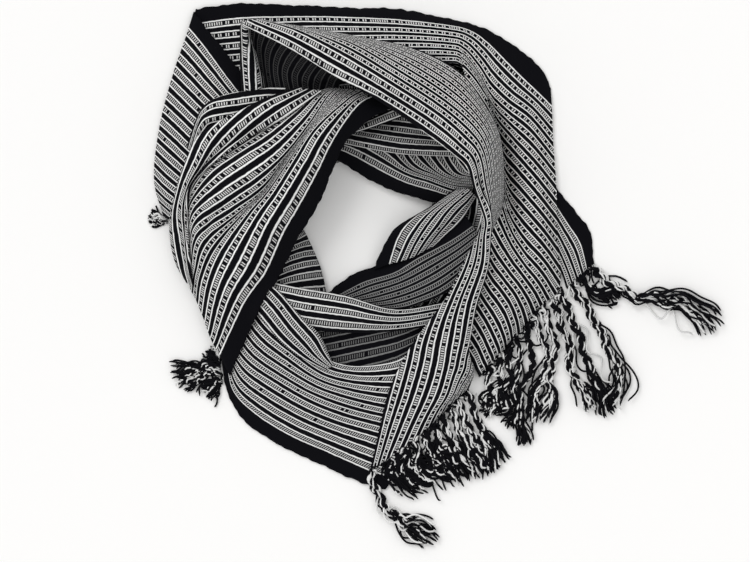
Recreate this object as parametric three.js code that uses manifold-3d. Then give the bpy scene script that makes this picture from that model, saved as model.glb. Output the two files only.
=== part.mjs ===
// A cotton scarf in black and white stripes, wound in a loop and dropped on a flat surface.
// The surface is z = 0. Places on the plan are in millimetres to the right of and down from the plan's
// top left corner, as the scarf is seen from above, and are turned into the model's own axes at the end.
import * as THREE from "three";
import Module from "manifold-3d";
import { mergeVertices } from "three/addons/utils/BufferGeometryUtils.js";

// Driving dimensions, in millimetres
const CLOTH = 1.6; // thickness of one layer of the woven cloth
const CLEARANCE = 0.3; // air between a layer and what it lies on
const SEAT = 0.9; // air where a layer that touched nothing comes to rest
const LIP_CLEARANCE = 1; // the same at a side that turns down
const LEAST_LIP = 1.2; // a folded side turns down by at least this
const LEAST_WALL = 0.3; // least height from the underside to the upper side, where cloth stands steep
const EASING = { rounds: 12, kept: 0.9 }; // how a raised place eases down around itself
const FACET = 15; // usual side of a facet, before the drape
const CELL = 1.5; // spacing of the map of heights that layers are laid on
const PLAN = { width: 780, height: 580 };
const CENTRE = { right: 431, down: 270.5 }; // the middle of the whole scarf on the plan

// Cloth and yarn colours
const WOVEN = new THREE.MeshStandardMaterial({ color: 0x4a4a4d, roughness: 0.92, metalness: 0 });
const SHADED = new THREE.MeshStandardMaterial({ color: 0x26262a, roughness: 0.95, metalness: 0 });
const YARN = new THREE.MeshStandardMaterial({ color: 0x6a6a6d, roughness: 0.95, metalness: 0 });

// Each stretch of cloth is a table with one row for each section across it. A place in a row is how far
// right, down and up the underside of the cloth is there. lips says how far a folded side turns down.

// Columns: selvedge, first white line, third band, sixth band
const BACK_BAND = {
  lips: {},
  sections: [
    [[196, 9, 2], [192, 24, 3], [183, 58, 4], [175, 92, 5]],
    [[240, 4, 2], [240, 18, 6], [240, 54, 11], [238, 88, 14]],
    [[300, 6, 2], [300, 17, 7], [300, 47, 13], [300, 78, 12]],
    [[350, 8.5, 2], [350, 18, 8], [350, 46, 17], [350, 74, 18]],
    [[400, 10, 2], [400, 20.5, 9], [400, 44, 20], [400, 66, 24]],
    [[450, 20, 2], [450, 26.5, 9], [448, 46, 24], [446, 64, 28]],
    [[474, 25, 2], [469, 31, 8], [461, 50, 26], [457, 66, 30]],
  ],
};

// Columns: selvedge, first line, then the bands 3, 6, 9, 12, 15, 18, 21 and 24
const RIGHT_FAN = {
  lips: {},
  sections: [
    [[476, 26, 2], [471, 32, 8], [463, 51, 26], [462, 68, 30], [482, 130, 26], [490, 170, 28],
      [487, 225, 40], [482, 265, 34], [472, 303, 24], [464, 350, 12]],
    [[498, 36, 2], [487, 43, 9], [478, 68, 25], [484, 95, 24], [499, 162, 22], [500, 190, 24],
      [497, 243, 36], [491, 281, 33], [480, 315, 24], [469, 357, 11]],
    [[516, 48, 2], [503, 59, 10], [490, 86, 25], [497, 120, 23], [509, 178, 24], [508, 215, 26],
      [509, 262, 32], [500, 293, 30], [487, 327, 22], [473, 363, 10]],
    [[532, 60, 2], [522, 78, 10], [507, 103, 26], [513, 140, 30], [520, 191, 31], [523, 240, 30],
      [521, 277, 27], [508, 305, 25], [492, 338, 19], [475, 368, 9]],
    [[544, 74, 2], [541, 96, 9], [529, 120, 20], [534, 165, 26], [539, 215, 28], [542, 262, 24],
      [532, 292, 18], [514, 320, 16], [496, 348, 13], [477, 373, 8]],
    [[550, 88, 2], [551, 106, 4], [554, 149, 4], [557, 193, 5], [557, 238, 5], [560, 288, 3],
      [540, 307, 2], [517, 335, 2], [498, 356, 2], [479, 377, 2]],
  ],
};

// Columns: selvedge, first line, second band, fourth band
const TAIL_LAYER = {
  lips: {},
  sections: [
    [[547, 172, 1], [545, 192, 1.5], [545, 215, 2], [545, 240, 2]],
    [[559, 191, 1], [556, 206, 2], [553, 228, 3], [551, 252, 3]],
    [[577, 214, 1], [568, 224, 3], [560, 241, 4], [556, 262, 4]],
    [[590, 232, 1], [580, 243, 3], [568, 258, 4], [562, 275, 3]],
    [[594, 264, 1], [587, 269, 1.5], [576, 279, 2], [566, 288, 2]],
  ],
};

// Columns: selvedge, first line, then the bands 4, 8, 12 and 15
const LEFT_PANEL = {
  lips: { firstSection: 4 },
  sections: [
    [[194, 11, 4], [189, 27, 5], [172, 78, 5], [159, 129, 4], [154, 178, 3], [163, 214, 2]],
    [[203, 24, 9], [199, 39, 11], [186, 92, 15], [173, 142, 17], [168, 192, 16], [173, 222, 12]],
    [[222, 48, 15], [214, 59, 18], [204, 110, 24], [192, 160, 25], [186, 206, 22], [185, 232, 17]],
    [[240, 72, 18], [229, 80, 23], [226, 130, 30], [216, 180, 30], [206, 222, 26], [199, 242, 20]],
    [[251, 90, 19], [243, 98, 24], [246, 150, 33], [238, 198, 33], [226, 238, 28], [212, 255, 22]],
  ],
};

// Columns: foot on the left, top on the left, top on the right, foot on the right
const CORNER_LEG = {
  lips: {},
  sections: [
    [[241.5, 32, 22], [244, 30, 37], [249, 30, 39], [253, 33, 30]],
    [[241.5, 42, 18], [244, 41, 40], [250, 41, 42], [254, 43, 24]],
    [[241.5, 60, 17], [244, 60, 36], [252, 60, 37], [258, 60, 20]],
    [[241.5, 78, 17], [244, 78, 31], [255, 78, 32], [263, 78, 17]],
    [[241.5, 97, 17], [244, 97, 26], [257, 97, 27], [266, 97, 16]],
  ],
};

// Columns: fold edge, then the bands 1, 2, 4, 7 and 10
const TOP_FOLD = {
  lips: { firstColumn: 14, firstSection: 6 },
  sections: [
    [[245, 26, 54], [252, 22.5, 57], [256, 21.5, 52], [259, 21.5, 40], [262, 22, 26], [265, 22.5, 12]],
    [[290, 49, 62], [294, 40, 66], [298, 33, 60], [301, 30.5, 47], [303, 29.5, 31], [305, 28.5, 14]],
    [[332, 75, 68], [338, 64, 73], [343, 55, 70], [350, 45, 57], [354, 40, 39], [356, 38, 20]],
    [[380, 102, 72], [386, 92, 78], [391, 84, 77], [398, 72, 70], [407, 59, 52], [412, 50, 30]],
    [[425, 132, 74], [432, 122, 80], [437, 114, 79], [444, 102, 73], [453, 87, 57], [459, 74, 36]],
    [[455, 154, 74], [461, 146, 79], [466, 139, 78], [472, 128, 71], [478, 117, 54], [481, 110, 34]],
    [[469, 166, 72], [474, 161, 77], [478, 157, 75], [483, 151, 67], [489, 144, 51], [493, 138, 34]],
    [[475, 190, 66], [480, 188, 71], [484, 186, 70], [489, 183, 62], [494, 180, 49], [499, 177, 34]],
    [[483, 212, 62], [485.5, 211, 65], [488, 210.5, 65], [491, 210, 60], [494, 209, 52], [497, 208, 42]],
    [[486, 226, 60], [488, 226, 61], [489.5, 226, 61], [491, 226, 59], [492.5, 226, 56], [494, 226, 52]],
  ],
};

// Columns: left side, first quarter, middle, third quarter, right side
const FRONT_STRIP = {
  lips: { lastColumn: 8 },
  sections: [
    [[479, 207, 50], [481.5, 208, 53], [484, 210, 55], [487, 212, 55], [491, 214, 52]],
    [[477, 236, 44], [479.5, 236, 50], [482.5, 236, 54], [486, 236, 56], [490, 236, 52]],
    [[464, 260, 34], [470, 262, 42], [476, 264, 47], [482, 266, 50], [487, 268, 45]],
    [[444, 298, 24], [453, 300, 33], [461, 302, 39], [470, 304, 42], [477, 306, 37]],
    [[414, 337, 15], [428, 339, 24], [444, 342, 31], [459, 345, 33], [470, 348, 28]],
    [[394, 365, 9], [418, 366, 17], [445, 368, 23], [464, 370, 23], [474, 366, 18]],
    [[379, 393, 4], [410, 396, 11], [445, 393, 15], [462, 386, 15], [477, 373, 12]],
    [[373, 428, 2], [397, 431, 6], [434, 412, 9], [457, 394, 10], [477, 376, 9]],
    [[365, 474, 1], [386, 460, 2], [425, 430, 3], [453, 401, 3], [477, 379, 4]],
  ],
};

// Columns: selvedge round the neck opening, first line, then the bands 2, 4, 6.5, 9, 12 and 15
const FRONT_ROLL = {
  lips: { lastColumn: 3, lastSection: 3 },
  sections: [
    [[392, 110, 38], [376, 97, 38], [359, 92, 34], [345, 89, 28], [329, 87, 24], [313, 86, 20],
      [292, 85, 18], [262, 85, 18]],
    [[372, 119, 46], [357, 108, 54], [341, 103, 56], [328, 102, 52], [314, 103, 48], [298, 104, 40],
      [279, 99, 40], [246, 92, 38]],
    [[346, 142, 47], [334, 140, 58], [315, 133, 66], [300, 129, 60], [283, 134, 58], [268, 128, 42],
      [252, 116, 46], [216, 98, 38]],
    [[318, 205, 42], [302, 202, 53], [281, 196, 65], [266, 190, 55], [240, 177, 57], [224, 162, 36],
      [215, 148, 40], [197, 130, 30]],
    [[294, 252, 33], [276, 247, 44], [252, 245, 55], [235, 228, 47], [211, 204, 47], [202, 189, 26],
      [196, 178, 30], [188, 163, 22]],
    [[262, 304, 21], [244, 304, 29], [225, 296, 36], [209, 267, 33], [194, 232, 30], [190, 220, 19],
      [186, 212, 21], [177, 205, 14]],
    [[229, 378, 7], [220, 356, 8], [209, 337, 9], [200, 308, 9], [192, 288, 9], [187, 278, 9],
      [181, 268, 9], [173, 252, 8]],
  ],
};

// Columns: selvedge, first line, then the bands 3, 6, 8.5 and 11
const LOWER_PANEL = {
  lips: { lastColumn: 2 },
  sections: [
    [[222, 354, 2], [226, 351, 3], [229, 345, 4], [241, 323, 8], [251, 301, 12], [262, 282, 16]],
    [[226, 386, 1], [233, 389, 4], [245, 368, 12], [258, 345, 18], [269, 322, 22], [280, 304, 26]],
    [[243, 419, 1], [255, 413, 5], [268, 385, 16], [283, 364, 22], [289, 341, 24], [299, 324, 29]],
    [[275, 442, 1], [290, 435, 6], [305, 406, 15], [318, 382, 19], [311, 362, 18], [321, 351, 23]],
    [[318, 463, 1], [328, 452, 5], [340, 421, 11], [352, 396, 13], [348, 374, 13], [352, 362, 16]],
    [[360, 482, 1], [368, 470, 2], [380, 433, 4], [388, 404, 6], [392, 382, 8], [398, 366, 10]],
  ],
};

// Columns: upper fold edge, first third, second third, lower side
const INNER_BAND = {
  lips: { firstColumn: 2 },
  sections: [
    [[266, 281, 26], [267, 292, 28], [268, 304, 27], [270, 317, 20]],
    [[300, 288, 31], [300, 300, 34], [300, 313, 32], [302, 327, 24]],
    [[345, 296, 31], [345, 307, 34], [345, 319, 31], [345, 332, 22]],
    [[395, 310, 22], [395, 316, 24], [395, 323, 22], [397, 330, 16]],
    [[446, 303, 14], [447, 309, 15], [447, 315, 14], [449, 322, 12]],
  ],
};

// Columns: top, first third, second third, bottom
const INNER_LAYER_DEEP = {
  lips: {},
  sections: [
    [[298, 326, 14], [300, 340, 10], [303, 354, 9], [306, 368, 8]],
    [[345, 324, 14], [345, 338, 10], [345, 352, 8], [345, 372, 7]],
    [[395, 320, 10], [395, 334, 8], [395, 348, 6], [395, 367, 6]],
    [[432, 313, 8], [428, 328, 7], [422, 342, 6], [415, 358, 5]],
  ],
};

// Columns: selvedge round the neck opening, first line, then the bands 2, 4 and 6
const INNER_BAND_RIGHT = {
  lips: {},
  sections: [
    [[328, 293, 2], [339, 295, 5], [352, 299, 9], [366, 304, 12], [382, 310, 13]],
    [[352, 275, 3], [365, 282, 8], [376, 292, 14], [390, 300, 17], [405, 308, 17]],
    [[374, 267, 5], [394, 273, 12], [403, 283, 18], [413, 293, 21], [424, 302, 20]],
    [[396, 253, 10], [417, 259, 17], [428, 270, 22], [438, 281, 24], [446, 292, 22]],
    [[432, 234, 16], [449, 242, 22], [457, 252, 27], [463, 263, 28], [466, 275, 26]],
    [[464, 215, 24], [473, 226, 28], [478, 236, 31], [481, 246, 31], [483, 258, 30]],
  ],
};

// Columns: selvedge round the neck opening, first line, second band, fourth band
const INNER_FOLD_RIGHT = {
  lips: {},
  sections: [
    [[377, 265, 9], [390, 265, 14], [402, 262, 17], [413, 256, 18]],
    [[384, 247, 13], [396, 247, 19], [406, 246, 24], [417, 244, 22]],
    [[399, 227, 18], [408, 232, 26], [418, 234, 30], [430, 234, 26]],
    [[424, 212, 24], [432, 217, 32], [440, 222, 35], [450, 226, 30]],
    [[446, 201, 30], [452, 206, 36], [460, 212, 39], [467, 218, 34]],
    [[464, 190, 34], [469, 196, 39], [474, 203, 41], [479, 209, 38]],
  ],
};

// Columns: top, first third, second third, bottom
const INNER_FOLD_LEFT = {
  lips: { firstSection: 6 },
  sections: [
    [[303, 229, 9], [313, 250, 11], [321, 270, 11], [326, 293, 10]],
    [[296, 235, 19], [301, 252, 21], [306, 272, 20], [311, 294, 17]],
    [[284, 243, 23], [286, 258, 24], [289, 276, 23], [293, 294, 20]],
    [[272, 258, 24], [272, 269, 25], [273, 282, 24], [276, 296, 21]],
  ],
};

// Columns: selvedge round the neck opening, first line, band 1.5, the raised fold, the shaded part, its end
const INNER_LAYER_UPPER = {
  lips: {},
  sections: [
    [[331, 154, 12], [335, 147, 17], [337, 143, 20], [339, 139, 22], [344, 130, 17], [352, 117, 13]],
    [[352, 169, 9], [362, 160, 16], [364, 155, 22], [366, 147, 28], [371, 130, 18], [378, 112, 14]],
    [[385, 187, 9], [393, 177, 18], [397, 168, 26], [400, 150, 35], [402, 130, 21], [404, 110, 15]],
    [[420, 199, 12], [424, 188, 21], [428, 176, 30], [430, 151, 39], [432, 134, 25], [436, 117, 18]],
    [[455, 202, 20], [458, 194, 28], [460, 180, 34], [461, 153, 42], [461, 142, 30], [462, 130, 22]],
    [[471, 197, 27], [473, 187, 33], [475, 174, 38], [477, 155, 43], [479, 147, 34], [481, 138, 28]],
  ],
};

// The hidden layers. One row for each direction round the neck opening, anticlockwise from the right
const OPENING = { right: 352, down: 222 };
const HIDDEN_REACH = [
  { angle: 0, inner: 62, outer: 188 },
  { angle: 30, inner: 68, outer: 204 },
  { angle: 60, inner: 60, outer: 200 },
  { angle: 90, inner: 62, outer: 186 },
  { angle: 120, inner: 58, outer: 208 },
  { angle: 150, inner: 48, outer: 188 },
  { angle: 180, inner: 52, outer: 160 },
  { angle: 210, inner: 58, outer: 146 },
  { angle: 240, inner: 78, outer: 186 },
  { angle: 270, inner: 68, outer: 218 },
  { angle: 300, inner: 60, outer: 176 },
  { angle: 330, inner: 52, outer: 172 },
];
// One row for each rounded ridge of the hidden layers: where it runs, how high it is and its half width
const HIDDEN_RIDGES = [
  { from: [300, 46, 34], to: [398, 84, 54], half: 24 }, // under the top fold
  { from: [398, 84, 54], to: [474, 150, 52], half: 26 },
  { from: [474, 150, 52], to: [487, 232, 38], half: 20 },
  { from: [484, 240, 32], to: [458, 320, 18], half: 26 }, // under the front strip
  { from: [455, 322, 16], to: [425, 400, 5], half: 34 },
  { from: [328, 120, 44], to: [282, 190, 46], half: 36 }, // under the front roll
  { from: [282, 190, 46], to: [228, 282, 18], half: 38 },
  { from: [240, 145, 22], to: [200, 210, 10], half: 30 },
  { from: [200, 105, 8], to: [190, 170, 9], half: 40 }, // under the left panel
  { from: [270, 340, 10], to: [340, 385, 6], half: 45 }, // under the lower panel
  { from: [285, 303, 20], to: [395, 316, 10], half: 24 }, // under the inner bands
  { from: [425, 285, 12], to: [470, 250, 20], half: 28 },
  { from: [385, 148, 20], to: [465, 155, 26], half: 22 },
  { from: [518, 150, 18], to: [528, 235, 18], half: 30 }, // under the fan
  { from: [512, 262, 14], to: [494, 335, 8], half: 26 },
];
const HIDDEN_BASE = 4; // least height of the hidden layers
// The sides of the hidden layers step in, layer by layer: how far in from the side, and how high
const LAYER_STEPS = [
  { inset: 0, height: 0.1 },
  { inset: 0.8, height: 3 },
  { inset: 7, height: 3.6 },
  { inset: 7.8, height: 7 },
  { inset: 14, height: 7.6 },
  { inset: 14.8, height: 11 },
];
const DIRECTIONS = 52; // facets round the hidden layers
const RINGS = 9; // rings of facets between the stepped sides

// The fringe. strip says which end of which cloth it runs along, from which column to which, and how far
// from it. One row for each tassel: its root, as a share of the strip's length, then the places that it runs
// through to its tip
const TASSEL = { root: 1.7, belly: 4.4, tip: 1.2, bellyAt: 0.7, fullLength: 60, sides: 4, stepLength: 17 };
// The two loose ends beside each tip: how far to the side, how far short of the tip, and their half widths
const LOOSE_END = { aside: 4.5, short: 5, root: 1.5, taper: 0.9, up: 1.6, sides: 3, steps: 2 };
const FRINGE_TAIL = {
  strip: { cloth: TAIL_LAYER, from: 0.1, to: 2.8, parted: 2.2 },
  tassels: [
    [0.1, [611, 282], [631, 296], [660, 302], [712, 318]],
    [0.85, [589, 305], [603, 332], [624, 366], [612, 405]],
  ],
};
const FRINGE_FAN = {
  strip: { cloth: RIGHT_FAN, from: 5.1, to: 8.5, parted: 2.7 },
  tassels: [
    [0.04, [568, 318], [578, 342], [588, 372], [598, 415]],
    [0.16, [557, 330], [566, 352], [563, 378], [566, 402]],
    [0.28, [546, 338], [551, 360], [547, 388], [545, 425]],
    [0.41, [533, 346], [537, 368], [531, 392], [532, 418]],
    [0.54, [520, 354], [525, 371], [516, 388], [520, 438]],
    [0.68, [508, 363], [512, 378], [508, 394], [512, 416]],
    [0.81, [497, 370], [501, 385], [497, 400], [499, 422]],
    [0.94, [484, 382], [488, 394], [486, 405], [487, 415]],
  ],
};
const FRINGE_FRONT = {
  strip: { cloth: FRONT_STRIP, from: 0.35, to: 3.5, parted: 2.4 },
  tassels: [
    [0.96, [471, 408], [477, 428], [486, 444], [498, 462]],
    [0.86, [461, 416], [468, 436], [477, 452], [489, 470]],
    [0.77, [452, 426], [459, 444], [467, 458], [478, 473]],
    [0.67, [443, 434], [449, 450], [457, 462], [468, 476]],
    [0.57, [433, 443], [439, 456], [447, 467], [457, 479]],
    [0.47, [423, 450], [428, 461], [435, 471], [444, 481]],
    [0.37, [412, 457], [416, 466], [422, 474], [430, 483]],
    [0.27, [401, 464], [404, 471], [409, 477], [416, 485]],
    [0.17, [389, 471], [392, 476], [396, 481], [402, 488]],
    [0.03, [378, 492], [387, 508], [402, 521], [434, 535]],
  ],
};
const TUFT_LEFT_LOW = {
  strip: { places: [[219.4, 361], [220.3, 371], [222.3, 384]] },
  tassels: [
    [0.1, [208, 363], [202, 363], [196, 362], [189, 360]],
    [0.4, [207, 371], [198, 371], [187, 371], [174, 370]],
    [0.7, [207, 379], [197, 380], [187, 381], [176, 382]],
    [0.95, [213, 387], [208, 388], [204, 390], [199, 393]],
  ],
};
const TUFT_LEFT_HIGH = {
  strip: { places: [[164.4, 216.1], [167.4, 222.1]] },
  tassels: [
    [0.2, [160, 217.5], [157, 216.5], [154, 215.5], [150, 214]],
    [0.9, [161, 223], [157, 223], [154, 223], [151, 223]],
  ],
};
const STRIP = { width: 3.6, height: 2.6, foot: 0.4 };

// Four numbers or places blended by the curve that runs through the middle two
function through(before, from, to, after, t) {
  return from.map((value, axis) => {
    const slope = (to[axis] - before[axis]) / 2;
    const nextSlope = (after[axis] - value) / 2;
    const rise = to[axis] - value;
    return value + t * (slope + t * (3 * rise - 2 * slope - nextSlope + t * (slope + nextSlope - 2 * rise)));
  });
}

// A place on a smooth line through a list of places, where along counts the places from 0
function onLine(places, along) {
  const last = places.length - 1;
  const index = Math.min(Math.floor(along), last - 1);
  const from = places[index];
  const to = places[index + 1];
  const before = index > 0 ? places[index - 1] : from.map((value, axis) => 2 * value - to[axis]);
  const after = index + 2 <= last ? places[index + 2] : to.map((value, axis) => 2 * value - from[axis]);
  return through(before, from, to, after, along - index);
}

// Where a table is cut into facets: each step between two rows is divided by its longest line
function divisions(lines) {
  const stops = [0];
  for (let step = 0; step + 1 < lines[0].length; step += 1) {
    const longest = Math.max(...lines.map((line) => Math.hypot(
      line[step + 1][0] - line[step][0],
      line[step + 1][1] - line[step][1],
      line[step + 1][2] - line[step][2],
    )));
    const parts = Math.max(1, Math.round(longest / FACET));
    for (let part = 1; part <= parts; part += 1) stops.push(step + part / parts);
  }
  return stops;
}

// The grid of places on one stretch, from its table
function surface(sections) {
  const columns = sections[0].map((_, column) => sections.map((section) => section[column]));
  const acrossStops = divisions(sections);
  return divisions(columns).map((along) => {
    const section = columns.map((column) => onLine(column, along));
    return acrossStops.map((across) => onLine(section, across));
  });
}

// The map of heights: how high the pile is at each place of the plan
const pile = {
  columns: Math.ceil(PLAN.width / CELL),
  rows: Math.ceil(PLAN.height / CELL),
  heights: null,
};
pile.heights = new Float64Array(pile.columns * pile.rows);

// The highest place of the pile within a few cells
function heightAt(right, down, cells = 1) {
  const column = Math.round(right / CELL);
  const row = Math.round(down / CELL);
  let height = 0;
  for (let r = row - cells; r <= row + cells; r += 1) {
    for (let c = column - cells; c <= column + cells; c += 1) {
      if (r < 0 || c < 0 || r >= pile.rows || c >= pile.columns) continue;
      height = Math.max(height, pile.heights[r * pile.columns + c]);
    }
  }
  return height;
}

// Calls visit at places spread over every facet of a grid, with the four corners' shares
function overFacets(grid, spacing, visit) {
  for (let i = 0; i + 1 < grid.length; i += 1) {
    for (let j = 0; j + 1 < grid[0].length; j += 1) {
      const corners = [grid[i][j], grid[i][j + 1], grid[i + 1][j], grid[i + 1][j + 1]];
      const reach = Math.max(
        Math.hypot(corners[0][0] - corners[3][0], corners[0][1] - corners[3][1]),
        Math.hypot(corners[1][0] - corners[2][0], corners[1][1] - corners[2][1]),
      );
      const parts = Math.max(2, Math.ceil(reach / spacing));
      for (let a = 0; a <= parts; a += 1) {
        for (let b = 0; b <= parts; b += 1) {
          const s = a / parts;
          const t = b / parts;
          const shares = [(1 - s) * (1 - t), (1 - s) * t, s * (1 - t), s * t];
          const place = [0, 1, 2].map((axis) => corners.reduce((sum, p, n) => sum + p[axis] * shares[n], 0));
          visit(place, i, j);
        }
      }
    }
  }
}

// Lays a grid on the pile: it is raised where the pile would come through it, and eases down around there.
// One that touches nothing is let down until it does
function rest(grid) {
  const need = grid.map((line) => line.map(() => 0));
  overFacets(grid, CELL, ([right, down, up], i, j) => {
    const short = heightAt(right, down) + CLEARANCE - up;
    for (const [r, c] of [[i, j], [i, j + 1], [i + 1, j], [i + 1, j + 1]]) {
      need[r][c] = Math.max(need[r][c], short);
    }
  });
  let lift = need.map((line) => [...line]);
  for (let round = 0; round < EASING.rounds; round += 1) {
    lift = lift.map((line, i) => line.map((value, j) => {
      const around = [lift[i - 1]?.[j], lift[i + 1]?.[j], line[j - 1], line[j + 1]];
      const known = around.filter((near) => near !== undefined);
      const mean = known.reduce((sum, near) => sum + near, 0) / known.length;
      return Math.max(need[i][j], EASING.kept * mean);
    }));
  }
  const raised = grid.map((line, i) => line.map(([right, down, up], j) => [right, down, up + lift[i][j]]));
  let air = Infinity;
  overFacets(raised, CELL, ([right, down, up]) => {
    air = Math.min(air, up - heightAt(right, down, 0) - SEAT);
  });
  return raised.map((line) => line.map(([right, down, up]) => [right, down, up - air]));
}

// A folded side turns down and a little inwards, as far as what lies below lets it
function lip(edge, inside, drop) {
  return edge.map(([right, down, up], index) => {
    const [nearRight, nearDown] = inside[index];
    const reach = Math.hypot(nearRight - right, nearDown - down) || 1;
    const lipRight = right + (nearRight - right) / reach;
    const lipDown = down + (nearDown - down) / reach;
    const floor = heightAt(lipRight, lipDown) + LIP_CLEARANCE;
    return [lipRight, lipDown, Math.min(up - LEAST_LIP, Math.max(up - drop, floor))];
  });
}

function addLips(grid, lips) {
  let out = grid;
  if (lips.firstSection) out = [lip(out[0], out[1], lips.firstSection), ...out];
  if (lips.lastSection) out = [...out, lip(out.at(-1), out.at(-2), lips.lastSection)];
  const column = (lines, index) => lines.map((line) => line.at(index));
  if (lips.firstColumn) {
    const turned = lip(column(out, 0), column(out, 1), lips.firstColumn);
    out = out.map((line, index) => [turned[index], ...line]);
  }
  if (lips.lastColumn) {
    const turned = lip(column(out, -1), column(out, -2), lips.lastColumn);
    out = out.map((line, index) => [...line, turned[index]]);
  }
  return out;
}

// The upper side of a grid: each place moved out by the cloth's thickness, square to the surface
function upperSide(grid) {
  const vector = ([right, down, up]) => new THREE.Vector3(right, -down, up);
  const clamp = (value, limit) => Math.min(Math.max(value, 0), limit);
  const normals = grid.map((line, i) => line.map((_, j) => {
    const at = (r, c) => vector(grid[clamp(r, grid.length - 1)][clamp(c, line.length - 1)]);
    const along = at(i + 1, j).sub(at(i - 1, j));
    const across = at(i, j + 1).sub(at(i, j - 1));
    return along.cross(across).normalize();
  }));
  const tilt = normals.flat().reduce((sum, normal) => sum + normal.z, 0);
  const facing = Math.sign(tilt);
  const upper = grid.map((line, i) => line.map((place, j) => {
    const moved = vector(place).addScaledVector(normals[i][j], facing * CLOTH);
    return [moved.x, -moved.y, Math.max(moved.z, place[2] + LEAST_WALL)];
  }));
  return { upper, facing };
}

// A closed wall between the two sides of a grid
function wall(lower, upper, facing) {
  const rows = lower.length;
  const columns = lower[0].length;
  const places = [...upper.flat(), ...lower.flat()];
  const positions = places.flatMap(([right, down, up]) => [right - CENTRE.right, CENTRE.down - down, up]);
  const top = (i, j) => i * columns + j;
  const bottom = (i, j) => rows * columns + top(i, j);
  const triangles = [];
  const quad = (a, b, c, d) => {
    if (facing > 0) triangles.push(a, b, c, a, c, d);
    else triangles.push(a, c, b, a, d, c);
  };
  for (let i = 0; i + 1 < rows; i += 1) {
    for (let j = 0; j + 1 < columns; j += 1) {
      quad(top(i, j), top(i + 1, j), top(i + 1, j + 1), top(i, j + 1));
      quad(bottom(i, j), bottom(i, j + 1), bottom(i + 1, j + 1), bottom(i + 1, j));
    }
  }
  for (let j = 0; j + 1 < columns; j += 1) {
    quad(top(0, j), top(0, j + 1), bottom(0, j + 1), bottom(0, j));
    quad(top(rows - 1, j + 1), top(rows - 1, j), bottom(rows - 1, j), bottom(rows - 1, j + 1));
  }
  for (let i = 0; i + 1 < rows; i += 1) {
    quad(top(i + 1, 0), top(i, 0), bottom(i, 0), bottom(i + 1, 0));
    quad(top(i, columns - 1), top(i + 1, columns - 1), bottom(i + 1, columns - 1), bottom(i, columns - 1));
  }
  return solid(positions, triangles);
}

function solid(positions, triangles) {
  const geometry = new THREE.BufferGeometry();
  geometry.setAttribute("position", new THREE.Float32BufferAttribute(positions, 3));
  geometry.setIndex(triangles);
  geometry.computeVertexNormals();
  return geometry;
}

function raisePile(grid) {
  overFacets(grid, CELL / 2, ([right, down, up]) => {
    const cell = Math.round(down / CELL) * pile.columns + Math.round(right / CELL);
    pile.heights[cell] = Math.max(pile.heights[cell], up);
  });
}

function layCloth(name, { sections, lips }, material) {
  const lower = addLips(rest(surface(sections)), lips);
  const { upper, facing } = upperSide(lower);
  raisePile(upper);
  raisePile(lower);
  const mesh = new THREE.Mesh(wall(lower, upper, facing), material);
  mesh.name = name;
  return mesh;
}

// How high the hidden layers are at a place of the plan: rounded ridges that run into each other
function hiddenHeight(right, down) {
  const total = HIDDEN_RIDGES.reduce((sum, { from, to, half }) => {
    const run = [to[0] - from[0], to[1] - from[1]];
    const share = ((right - from[0]) * run[0] + (down - from[1]) * run[1]) / (run[0] ** 2 + run[1] ** 2);
    const t = Math.min(Math.max(share, 0), 1);
    const away = Math.hypot(right - from[0] - t * run[0], down - from[1] - t * run[1]);
    if (away >= half) return sum;
    const ridge = (from[2] + t * (to[2] - from[2])) * Math.cos((away / half) * (Math.PI / 2)) ** 2;
    return sum + ridge ** 4;
  }, HIDDEN_BASE ** 4);
  return total ** 0.25;
}

function hiddenReach(degrees) {
  const place = (degrees / 360) * HIDDEN_REACH.length;
  const row = (index) => {
    const { inner, outer } = HIDDEN_REACH[(index + HIDDEN_REACH.length) % HIDDEN_REACH.length];
    return [inner, outer];
  };
  const index = Math.floor(place);
  return through(row(index - 1), row(index), row(index + 1), row(index + 2), place - index);
}

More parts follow.
